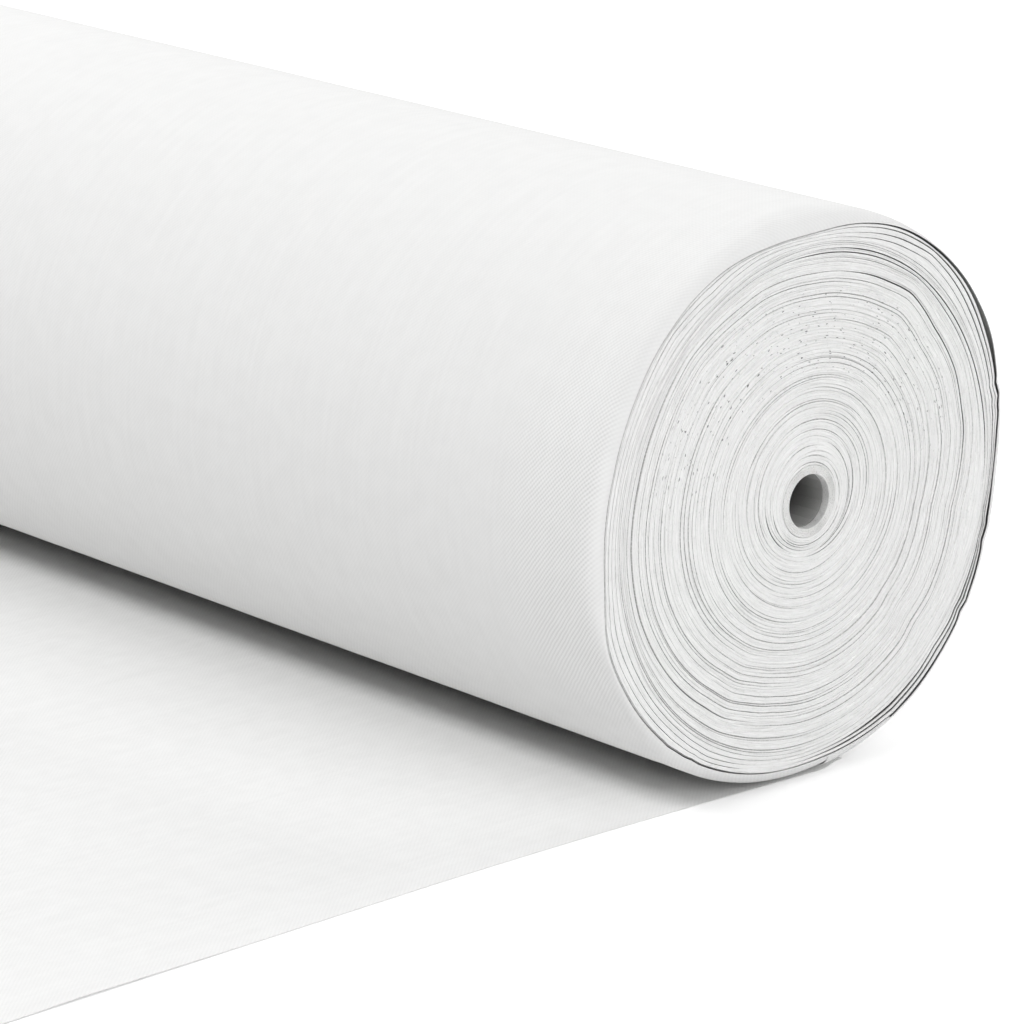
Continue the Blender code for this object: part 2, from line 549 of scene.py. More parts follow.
@dataclass(frozen=True)
class Streaks:
    """One pattern of streaks that follow the layers' edges.

    Attributes:
        along: How often it changes along a layer, for each dash.
        across: How often it changes across the layers, for each layer.
        seed: Shifts the pattern.
        low: Noise at which it begins to show.
        high: Noise at which it shows fully.
        strength: How strong it is there.
        detail: How many finer layers its noise has.
    """

    along: float
    across: float
    seed: float
    low: float
    high: float
    strength: float = 1.0
    detail: float = 1.0

    def mask(self, maker: NodeMaker, dash: Socket, layer: Socket) -> Socket:
        """Add the pattern to a tree.

        Args:
            maker: The tree's maker.
            dash: Place along the layers, in dashes.
            layer: Place across them, in layers.

        Returns:
            The pattern's mask.
        """
        place = maker.vector(maker.product(dash, self.along), maker.product(layer, self.across), self.seed)
        return maker.ranged(maker.noise(place, 1.0, self.detail), self.low, self.high, 0.0, self.strength)


class Effects:
    """Shader node groups that more than one material uses, each built once."""

    FLOAT: ClassVar[str] = "NodeSocketFloat"
    VECTOR: ClassVar[str] = "NodeSocketVector"
    LINE_SLANTS: ClassVar[Sequence[tuple[float, float]]] = ((0.88, 0.37), (-1.0, 0.13))
    FIBRE_TURNS: ClassVar[Sequence[float]] = (0.4, 1.5, 2.6)
    LONG_LINES: ClassVar[Streaks] = Streaks(0.06, 1.0, 0.0, 0.5, 0.72, strength=0.6)
    SHORT_LINES: ClassVar[Streaks] = Streaks(0.55, 0.8, 7.0, 0.56, 0.74, strength=0.4)
    DASHES: ClassVar[Streaks] = Streaks(1.0, 0.2, 11.0, 0.3, 0.62, detail=0.0)
    # Pattern of the painted highlights on ridges of the layers' edges.
    RIDGE_HIGHLIGHTS: ClassVar[Streaks] = Streaks(0.12, 0.8, 27.0, 0.48, 0.68)
    SPECKS: ClassVar[Streaks] = Streaks(0.42, 0.7, 19.0, 0.735, 0.80, detail=0.0)

    def __init__(self) -> None:
        """Build the groups."""
        self.emboss = self._emboss()
        self.cloudy = self._cloudy()
        self.strands = self._strands()
        self.edges = self._edges()

    def _start(self, name: str, numbers: dict[str, float], outputs: Sequence[str]
               ) -> tuple[NodeMaker, dict[str, Socket], bpy.types.Node]:
        """Start a group that reads a place on the cloth.

        Args:
            name: Name of the group.
            numbers: Name and usual value of each number that it takes.
            outputs: Names of what it puts out.

        Returns:
            The maker, the inputs' sockets by name, and the output node.
        """
        tree = bpy.data.node_groups.new(name, "ShaderNodeTree")
        tree.interface.new_socket("Place", in_out="INPUT", socket_type=self.VECTOR)
        for label, usual in numbers.items():
            tree.interface.new_socket(label, in_out="INPUT", socket_type=self.FLOAT).default_value = usual
        for label in outputs:
            tree.interface.new_socket(label, in_out="OUTPUT", socket_type=self.FLOAT)
        maker = NodeMaker(tree)
        given = {s.name: s for s in maker.add("NodeGroupInput").outputs if s.name}
        return maker, given, maker.add("NodeGroupOutput")

    def _emboss(self) -> bpy.types.NodeTree:
        """Bonding points of the fleece, where two sets of slanting lines cross.

        Returns:
            The group, which gives the height of the cloth.
        """
        maker, given, out = self._start("bonding_points", {"Pitch": 0.0033, "Wander": 0.45}, ["Height"])
        x, y, _ = maker.parts(given["Place"])
        uneven = maker.math("SUBTRACT", maker.noise(given["Place"], 90.0, 1.0), 0.5)
        drift = maker.product(uneven, given["Wander"])
        waves = []
        for slant, strength in self.LINE_SLANTS:
            across = maker.math("DIVIDE", maker.math("MULTIPLY_ADD", y, slant, x), given["Pitch"])
            wave = maker.math("COSINE", maker.product(maker.total(across, drift), FULL_TURN))
            waves.append(maker.product(wave, strength))
        maker.feed(out.inputs["Height"], maker.total(*waves, 0.5))
        return maker.tree

    def _cloudy(self) -> bpy.types.NodeTree:
        """Uneven thickness of the fleece, as soft clouds and long faint streaks.

        Returns:
            The group, which gives a mask from 0 to 1.
        """
        maker, given, out = self._start("uneven_web", {"Size": 0.02, "Streak Share": 0.5}, ["Mask"])
        x, y, _ = maker.parts(given["Place"])
        fine = maker.math("DIVIDE", 1.0, given["Size"])
        patch = maker.vector(maker.product(x, fine), maker.product(y, fine), 0.0)
        streak = maker.vector(maker.product(x, fine, 5.0), maker.product(y, fine, 0.22), 3.0)
        patches, streaks = maker.noise(patch, 1.0, 3.0), maker.noise(streak, 1.0, 2.0)
        blend = maker.between(given["Streak Share"], patches, streaks)
        maker.feed(out.inputs["Mask"], maker.ranged(blend, 0.3, 0.7))
        return maker.tree

    def _strands(self) -> bpy.types.NodeTree:
        """Fine fibres of the spun web, lying in every direction.

        Returns:
            The group, which gives the height of the fibres.
        """
        maker, given, out = self._start("spun_fibres", {"Fineness": 1500.0}, ["Height"])
        x, y, _ = maker.parts(given["Place"])
        heights = []
        for turn in self.FIBRE_TURNS:
            along = maker.total(maker.product(x, math.cos(turn)), maker.product(y, math.sin(turn)))
            across = maker.total(maker.product(x, -math.sin(turn)), maker.product(y, math.cos(turn)))
            place = maker.vector(
                maker.product(along, given["Fineness"], 0.12), maker.product(across, given["Fineness"]), turn
            )
            heights.append(maker.noise(place, 1.0, 1.0))
        maker.feed(out.inputs["Height"], maker.product(maker.total(*heights), 1 / len(heights)))
        return maker.tree

    def _edges(self) -> bpy.types.NodeTree:
        """Cut edges of many thin layers, as broken lines that follow the winding.

        Returns:
            The group, which gives masks of the painted shade in fine gaps between layers, of breaks in
            wider lines, of painted highlights on ridges and of dark specks.
        """
        numbers = {"Layer": 0.0009, "Dash": 0.0028}
        maker, given, out = self._start("layer_edges", numbers, ["Lines", "Dashes", "Ridges", "Specks"])
        along, across, _ = maker.parts(given["Place"])
        layer = maker.math("DIVIDE", across, given["Layer"])
        dash = maker.math("DIVIDE", along, given["Dash"])
        lines = [streaks.mask(maker, dash, layer) for streaks in (self.LONG_LINES, self.SHORT_LINES)]
        maker.feed(out.inputs["Lines"], maker.total(*lines))
        for name, streaks in (("Dashes", self.DASHES), ("Ridges", self.RIDGE_HIGHLIGHTS), ("Specks", self.SPECKS)):
            maker.feed(out.inputs[name], streaks.mask(maker, dash, layer))
        return maker.tree


def new_material(name: str) -> tuple[bpy.types.Material, NodeMaker, bpy.types.Node]:
    """Start a material.

    Args:
        name: Name of the material.

    Returns:
        The material, a maker for its nodes, and its shader.
    """
    material = bpy.data.materials.new(name)
    material.use_nodes = True
    return material, NodeMaker(material.node_tree), material.node_tree.nodes["Principled BSDF"]


def placed(maker: NodeMaker, group: bpy.types.NodeTree, **values: object) -> bpy.types.Node:
    """Put a node group in a material.

    Args:
        maker: The material's maker.
        group: The group.
        values: What goes into its inputs, by name.

    Returns:
        The group's node.
    """
    node = maker.add("ShaderNodeGroup", node_tree=group)
    for name, value in values.items():
        maker.feed(node.inputs[name], value)
    return node


def bump(maker: NodeMaker, bsdf: bpy.types.Node, height: Socket) -> None:
    """Let a height in metres bend the shader's normal.

    Args:
        maker: The material's maker.
        bsdf: The material's shader.
        height: The height's socket.
    """
    node = maker.add("ShaderNodeBump")
    node.inputs["Strength"].default_value = 1.0
    node.inputs["Distance"].default_value = 1.0
    maker.feed(node.inputs["Height"], height)
    maker.feed(bsdf.inputs["Normal"], node.outputs[0])


@dataclass(frozen=True)
class FleeceFinish:
    """White spun fleece with its bonding points.

    Attributes:
        name: Name of the material.
        colour: Colour of the clean cloth.
        thin_colour: Colour where the cloth is thin.
        roughness: Roughness of the cloth.
        emboss_depth: Height of the bonding points.
        base_tint: How far the cloth is darkened on average.
        emboss_tint: How far the bonding points vary that.
        slack_share: How much of them is left where the cloth isn't pulled tight over an end.
        tight_from: Distance from the end at which the cloth begins to tighten.
        tight_to: Distance from the end at which it is tight.
        edge_width: Width of the smooth strip along an edge of the web.
        low_from: Height over the ground under which the cloth is slack again.
        low_to: Height over the ground at which it is tight.
        high_from: Height over the ground over which it slackens again.
        high_to: Height over the ground at which it is slack again.
        high_share: How much of the pull is left there.
        cloud_size: Size of the uneven patches.
        cloud_tint: How far the thin patches darken the cloth.
        cloud_depth: How far the patches stand out.
        fibre_tint: How far the fibres darken the cloth.
        fibre_depth: How far the fibres stand out.
        sheen: Specular level of the cloth.
    """

    name: str
    colour: Colour = (0.96, 0.96, 0.955, 1)
    thin_colour: Colour = (0.70, 0.70, 0.695, 1)
    roughness: float = 0.9
    emboss_depth: float = 0.00014
    base_tint: float = 0.22
    emboss_tint: float = 1.0
    slack_share: float = 0.14
    tight_from: float = 0.110
    tight_to: float = 0.035
    edge_width: float = 0.011
    low_from: float = 0.05
    low_to: float = 0.15
    high_from: float = 0.24
    high_to: float = 0.36
    high_share: float = 0.15
    cloud_size: float = 0.018
    cloud_tint: float = 0.11
    cloud_depth: float = 0.00008
    fibre_tint: float = 0.05
    fibre_depth: float = 0.00006
    sheen: float = 0.25

    def make(self, effects: Effects, sizes: RollFrame) -> bpy.types.Material:
        """Build the material.

        Args:
            effects: The shared node groups.
            sizes: The roll's sizes.

        Returns:
            The material.
        """
        material, maker, bsdf = new_material(self.name)
        place = maker.add("ShaderNodeUVMap", uv_map="UVMap").outputs[0]
        raised = placed(maker, effects.emboss, Place=place).outputs["Height"]
        patches = placed(maker, effects.cloudy, Place=place, Size=self.cloud_size).outputs["Mask"]
        fibres = placed(maker, effects.strands, Place=place).outputs["Height"]
        reach = maker.math("ABSOLUTE", maker.parts(place)[0])
        height = maker.parts(maker.add("ShaderNodeTexCoord").outputs["Object"])[2]
        end = sizes.half_width
        pulled = maker.product(
            maker.ranged(reach, end - self.tight_from, end - self.tight_to),
            maker.ranged(reach, end - self.edge_width, end, 1.0, 0.0),
            maker.ranged(height, self.low_from, self.low_to),
            maker.ranged(height, self.high_from, self.high_to, 1.0, self.high_share),
        )
        tight = maker.between(pulled, self.slack_share, 1.0)
        tint = maker.total(
            maker.product(maker.math("SUBTRACT", 0.5, raised), tight, self.emboss_tint),
            maker.product(patches, self.cloud_tint),
            maker.product(fibres, self.fibre_tint),
            self.base_tint,
        )
        maker.feed(bsdf.inputs["Base Color"], maker.mixed(tint, self.colour, self.thin_colour))
        bsdf.inputs["Roughness"].default_value = self.roughness
        bsdf.inputs["Specular IOR Level"].default_value = self.sheen
        relief = maker.total(
            maker.product(raised, tight, self.emboss_depth),
            maker.product(fibres, self.fibre_depth),
            maker.product(patches, self.cloud_depth),
        )
        bump(maker, bsdf, relief)
        return material


@dataclass(frozen=True)
class EdgeFinish:
    """Cut edges of the wound fleece on an end of the roll.

    Attributes:
        name: Name of the material.
        colour: Colour of the layers' edges.
        ridge_highlight_colour: Colour of the painted highlight on the edges that stand out.
        line_shade_colour: Colour of the painted shade in the fine gaps between the layers' edges.
        shade_and_speck_colour: Colour of the painted shade deep in a slot between turns, and of the dark
            specks.
        roughness: Roughness of the edges.
        sheen: Specular level of the edges.
        line_shade_tint: How strongly the painted shade of the fine lines shows.
        line_depth: How deep the fine lines are.
        plain_share: How much of the fine lines is left between the uneven patches.
        patch_size: Size of those patches.
        dash_share: How much of a shallow slot's painted shade is left where its line breaks off.
        speck_tint: How strongly the dark specks show.
        speck_from: Distance from the axis at which the specks begin.
        speck_to: Distance from the axis at which the specks end.
        speck_height: Height over the ground at which the specks begin.
        speck_fade: Distance over which they begin and end.
        speck_rise: Height over which they begin.
    """

    name: str
    colour: Colour = (0.935, 0.935, 0.93, 1)
    ridge_highlight_colour: Colour = (1.0, 1.0, 0.995, 1)
    line_shade_colour: Colour = (0.56, 0.56, 0.555, 1)
    shade_and_speck_colour: Colour = (0.10, 0.10, 0.10, 1)
    roughness: float = 0.92
    sheen: float = 0.2
    line_shade_tint: float = 0.6
    line_depth: float = 0.00012
    plain_share: float = 0.4
    patch_size: float = 0.012
    dash_share: float = 0.25
    speck_tint: float = 0.8
    speck_from: float = 0.076
    speck_to: float = 0.152
    speck_height: float = 0.185
    speck_fade: float = 0.02
    speck_rise: float = 0.08

    def make(self, effects: Effects) -> bpy.types.Material:
        """Build the material.

        Args:
            effects: The shared node groups.

        Returns:
            The material.
        """
        material, maker, bsdf = new_material(self.name)
        place = maker.add("ShaderNodeUVMap", uv_map="UVMap").outputs[0]
        # Painted shade: each point's stored slot shade darkens its colour.
        depth = maker.add("ShaderNodeAttribute", attribute_name=PAINTED_SLOT_SHADE).outputs["Fac"]
        edges = placed(maker, effects.edges, Place=place)
        patches = placed(maker, effects.cloudy, Place=place, Size=self.patch_size).outputs["Mask"]
        patchy = maker.ranged(patches, 0.0, 1.0, self.plain_share, 1.0)
        # Painted shade: fine dark lines in the gaps between the layers' edges, over their bump grooves.
        tint = maker.product(edges.outputs["Lines"], self.line_shade_tint, patchy)
        # Painted highlight: ridges of the edges lightened towards a paler colour.
        pale = maker.mixed(edges.outputs["Ridges"], self.colour, self.ridge_highlight_colour)
        layers = maker.mixed(tint, pale, self.line_shade_colour)
        # Painted shade in the slots, broken into dashes where a slot is shallow.
        dotted = maker.ranged(edges.outputs["Dashes"], 0.0, 1.0, self.dash_share, 1.0)
        broken = maker.product(depth, maker.between(depth, dotted, 1.0))
        radius = maker.parts(place)[1]
        height = maker.parts(maker.add("ShaderNodeTexCoord").outputs["Object"])[2]
        zone = maker.product(
            maker.ranged(radius, self.speck_from, self.speck_from + self.speck_fade),
            maker.ranged(radius, self.speck_to - self.speck_fade, self.speck_to, 1.0, 0.0),
            maker.ranged(height, self.speck_height, self.speck_height + self.speck_rise),
        )
        specks = maker.product(edges.outputs["Specks"], zone, self.speck_tint)
        # Painted slot shade and the dark specks, mixed towards one dark colour.
        dark = maker.math("MAXIMUM", broken, specks)
        maker.feed(bsdf.inputs["Base Color"], maker.mixed(dark, layers, self.shade_and_speck_colour))
        bsdf.inputs["Roughness"].default_value = self.roughness
        bsdf.inputs["Specular IOR Level"].default_value = self.sheen
        bump(maker, bsdf, maker.product(edges.outputs["Lines"], -self.line_depth))
        return material


@dataclass(frozen=True)
class PaperFinish:
    """Pressed board or paper of the core.

    Attributes:
        name: Name of the material.
        colour: Colour of the paper.
        fleck_and_shade_colour: Colour of its darker fibres, and of the painted shade deep inside.
        roughness: Roughness of the paper.
        ply: Thickness of one ply, which draws rings on a cut end.
        ply_wander: How far a ply strays from its ring, in plies.
        relief: How deep the fibres and the plies' joints are.
        fleck_tint: How strongly the fibres show.
        ring_tint: How strongly the plies show.
        stain_tint: How strongly soft stains show.
        bore_shade_tint: How far the paper is darkened deep inside, as painted shade.
        bore_shade_from: Distance from the end at which the painted shade begins.
        bore_shade_reach: Distance from the end at which it is complete.
    """

    name: str
    colour: Colour
    fleck_and_shade_colour: Colour
    roughness: float = 0.85
    ply: float = 0.0009
    ply_wander: float = 0.8
    relief: float = 0.00003
    fleck_tint: float = 0.5
    ring_tint: float = 0.22
    stain_tint: float = 0.25
    bore_shade_tint: float = 0.0
    bore_shade_from: float = 0.004
    bore_shade_reach: float = 0.045

    def make(self, sizes: RollFrame) -> bpy.types.Material:
        """Build the material, whose plies lie round the roll's axis.

        Args:
            sizes: The roll's sizes.

        Returns:
            The material.
        """
        material, maker, bsdf = new_material(self.name)
        place = maker.add("ShaderNodeTexCoord").outputs["Object"]
        x, y, z = maker.parts(place)
        height = maker.math("SUBTRACT", z, sizes.axis_height)
        radius = maker.math("SQRT", maker.total(maker.product(y, y), maker.product(height, height)))
        wander = maker.product(maker.noise(place, 160.0, 1.0), self.ply_wander)
        layer = maker.total(maker.math("DIVIDE", radius, self.ply), wander)
        rings = maker.ranged(maker.math("SINE", maker.product(layer, FULL_TURN)), 0.4, 1.0)
        flecks = maker.ranged(maker.noise(place, 900.0, 3.0), 0.5, 0.75)
        stains = maker.ranged(maker.noise(place, 60.0, 2.0), 0.4, 0.7)
        inset = maker.math("SUBTRACT", sizes.half_width, maker.math("ABSOLUTE", x))
        # Painted shade: the paper darkens further in from the end, deep in the bore.
        deep = maker.ranged(inset, self.bore_shade_from, self.bore_shade_reach, 0.0, self.bore_shade_tint)
        ringed = maker.product(rings, self.ring_tint)
        stained = maker.product(stains, self.stain_tint)
        tint = maker.total(maker.product(flecks, self.fleck_tint), ringed, stained, deep)
        maker.feed(bsdf.inputs["Base Color"], maker.mixed(tint, self.colour, self.fleck_and_shade_colour))
        bsdf.inputs["Roughness"].default_value = self.roughness
        bump(maker, bsdf, maker.product(maker.total(flecks, ringed), -self.relief))
        return material


@dataclass(frozen=True)
class TapeFinish:
    """Clear double-sided tape, slightly yellow and glossy.

    Attributes:
        name: Name of the material.
        colour: Colour where the tape is glossy.
        dull_colour: Colour where it is dull.
        gloss: Roughness where it is glossy.
        dullness: Roughness where it is dull.
        relief: Height of its dull patches.
    """

    name: str
    colour: Colour = (0.78, 0.76, 0.66, 1)
    dull_colour: Colour = (0.70, 0.69, 0.62, 1)
    gloss: float = 0.25
    dullness: float = 0.5
    relief: float = 0.00003

    def make(self) -> bpy.types.Material:
        """Build the material.

        Returns:
            The material.
        """
        material, maker, bsdf = new_material(self.name)
        place = maker.add("ShaderNodeTexCoord").outputs["Object"]
        patches = maker.ranged(maker.noise(place, 300.0, 3.0), 0.4, 0.65)
        maker.feed(bsdf.inputs["Base Color"], maker.mixed(patches, self.colour, self.dull_colour))
        maker.feed(bsdf.inputs["Roughness"], maker.ranged(patches, 0.0, 1.0, self.gloss, self.dullness))
        bump(maker, bsdf, maker.product(patches, self.relief))
        return material


class Finishes:
    """Every material of the object, built once."""

    def __init__(self, sizes: RollFrame) -> None:
        """Build the materials.

        Args:
            sizes: The roll's sizes.
        """
        effects = Effects()
        laid = FleeceFinish("laid_fleece_finish", emboss_tint=1.2, cloud_tint=0.13)
        self.laid = laid.make(effects, sizes)
        self.outer = FleeceFinish("outer_fleece_finish").make(effects, sizes)
        self.wound = EdgeFinish("wound_edge_finish").make(effects)
        board = PaperFinish("core_board_finish", (0.88, 0.88, 0.87, 1), (0.45, 0.45, 0.44, 1))
        self.board = board.make(sizes)
        # The liner, with painted shade deep in its bore.
        paper = PaperFinish(
            "core_paper_finish", (0.46, 0.46, 0.45, 1), (0.10, 0.10, 0.10, 1), fleck_tint=0.10,
            ring_tint=0.0, stain_tint=0.05, bore_shade_tint=0.85,
        )
        self.paper = paper.make(sizes)
        self.tape = TapeFinish("tape_finish").make()


def dress(item: bpy.types.Object, material: bpy.types.Material) -> None:
    """Give a piece its one material."""
    item.data.materials.clear()
    item.data.materials.append(material)


@dataclass(frozen=True)
class DrawnEnd:
    """How the web is drawn in at an end of the roll.

    Attributes:
        rim_shares: Distance of the outermost edge from the axis, as a share of the radius.
        crumples: Angle, width in degrees and size in metres of each small crumple of the edge.
        split_share: Share of the radius out to which the winding turns with the core.
    """

    rim_shares: Curve = (
        (0, 0.942), (15, 0.955), (30, 0.970), (45, 0.965), (60, 0.953), (75, 0.930), (85, 0.925),
        (95, 0.938), (105, 0.962), (115, 0.983), (125, 0.991), (140, 0.988), (155, 0.975),
        (165, 0.957), (180, 0.930), (192, 0.938), (205, 0.962), (220, 0.970), (235, 0.960),
        (250, 0.950), (265, 0.948), (278, 0.954), (289, 0.982), (300, 0.980), (315, 0.972),
        (330, 0.962), (345, 0.950),
    )
    crumples: Sequence[tuple[float, float, float]] = (
        (27, 2.0, 0.0006), (54, 1.4, -0.0014), (57, 1.2, 0.0006), (70, 1.2, -0.0012),
        (73.5, 1.0, 0.0007), (98, 2.2, 0.0010), (102, 1.0, 0.0014), (105, 0.9, -0.0012),
        (318, 1.5, 0.0005), (326, 1.2, -0.0006),
    )
    split_share: float = 0.885

    def rim(self, sizes: RollFrame, angle: np.ndarray) -> np.ndarray:
        """Give the outermost edge's distance from the axis.

        Args:
            sizes: The roll's sizes.
            angle: Angle from the lowest line, in radians.

        Returns:
            The distance at each angle.
        """
        radius = round_curve(self.rim_shares, angle) * sizes.radius
        degrees = np.degrees(angle) % 360
        for centre, width, size in self.crumples:
            radius = radius + size * np.exp(-((degrees - centre) / width) ** 2)
        return radius


@dataclass
class LaidWeb:
    """The free end of the web, lying flat in front of the roll.

    Attributes:
        thickness: Thickness of the cloth.
        lift: Height of its underside over the ground.
        step: Size of one cell of its mesh.
        drift: How far the web's right edge runs in towards the left.
        drift_run: How far in front of the web's back edge the drift is complete.
        narrowing: How far each edge is drawn in at the web's back edge.
        tuck: How much further it is drawn in where the web lifts off the ground.
        tuck_run: How far in front of the web's back edge that begins.
        wave: Height of the soft waves left by unrolling, where the roll leaves room for them.
        wave_sizes: Size of the slow and of the quick waves, along the roll and across it.
        wave_shares: Mean height, and height of the slow and of the quick waves, as shares of wave.
        room_share: Share of the room under the roll that the waves may take up.
    """

    thickness: float = 0.0004
    lift: float = 0.0001
    step: float = 0.008
    drift: float = 0.026
    drift_run: float = 0.400
    narrowing: float = 0.0085
    tuck: float = 0.009
    tuck_run: float = 0.030
    wave: float = 0.0022
    wave_sizes: Sequence[tuple[float, float]] = ((0.30, 0.16), (0.11, 0.07))
    wave_shares: tuple[float, float, float] = (0.45, 1.1, 0.45)
    room_share: float = 0.5

    def build(self, sizes: RollFrame, finish: bpy.types.Material) -> bpy.types.Object:
        """Build the laid web.

        Args:
            sizes: The roll's sizes.
            finish: Its material.

        Returns:
            The piece, on the laid web's body.
        """
        length = sizes.web_back - sizes.web_front
        across = np.linspace(-sizes.half_width, sizes.half_width, round(2 * sizes.half_width / self.step))
        along = np.linspace(sizes.web_back, sizes.web_front, round(length / self.step))
        u, y = np.meshgrid(across, along)
        eased = np.sin(np.clip((sizes.web_back - y) / self.drift_run, 0, 1) * math.pi / 2)
        tucked = self.tuck * smooth(self.tuck_run, 0, sizes.web_back - y)
        x = u - self.drift * eased - (self.narrowing * (1 - eased) + tucked) * u / sizes.half_width
        under = np.stack([x, y, self.lift + self._waves(sizes, x, y)], axis=-1)
        over = under + np.array([0, 0, self.thickness])
        item = closed_sheet("laid_fleece", over, under, np.stack([x, y], axis=-1))
        dress(item, finish)
        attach(item, Body.LAID.value)
        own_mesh(item)
        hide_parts("laid_web")
        return item

    def _travel(self) -> float:
        """Read how far the roll can travel."""
        return next(j for j in frame["joints"] if j["name"] == "roll_travel")["range_m"][1]

    def _waves(self, sizes: RollFrame, x: np.ndarray, y: np.ndarray) -> np.ndarray:
        """Give the height of the soft waves.

        Args:
            sizes: The roll's sizes.
            x: Places along the roll.
            y: Places across it.

        Returns:
            The height, low enough to stay clear of the roll when it has taken the web up.
        """
        length, travel = sizes.web_back - sizes.web_front, self._travel()
        taken = sizes.web_front + (y - sizes.web_front) * (length - travel) / length
        ahead = np.clip(-travel - taken, 0, None)
        room = sizes.radius - np.sqrt(sizes.radius ** 2 - ahead ** 2)
        places = np.stack([x, y, np.zeros_like(x)], axis=-1)
        slow, quick = (
            cloud(places, (*size, 1), seed) for size, seed in zip(self.wave_sizes, (3.7, 8.2))
        )
        mean, slow_share, quick_share = self.wave_shares
        wanted = self.wave * np.clip(mean + slow_share * slow + quick_share * quick, 0, 2)
        return np.minimum(wanted, self.room_share * room)


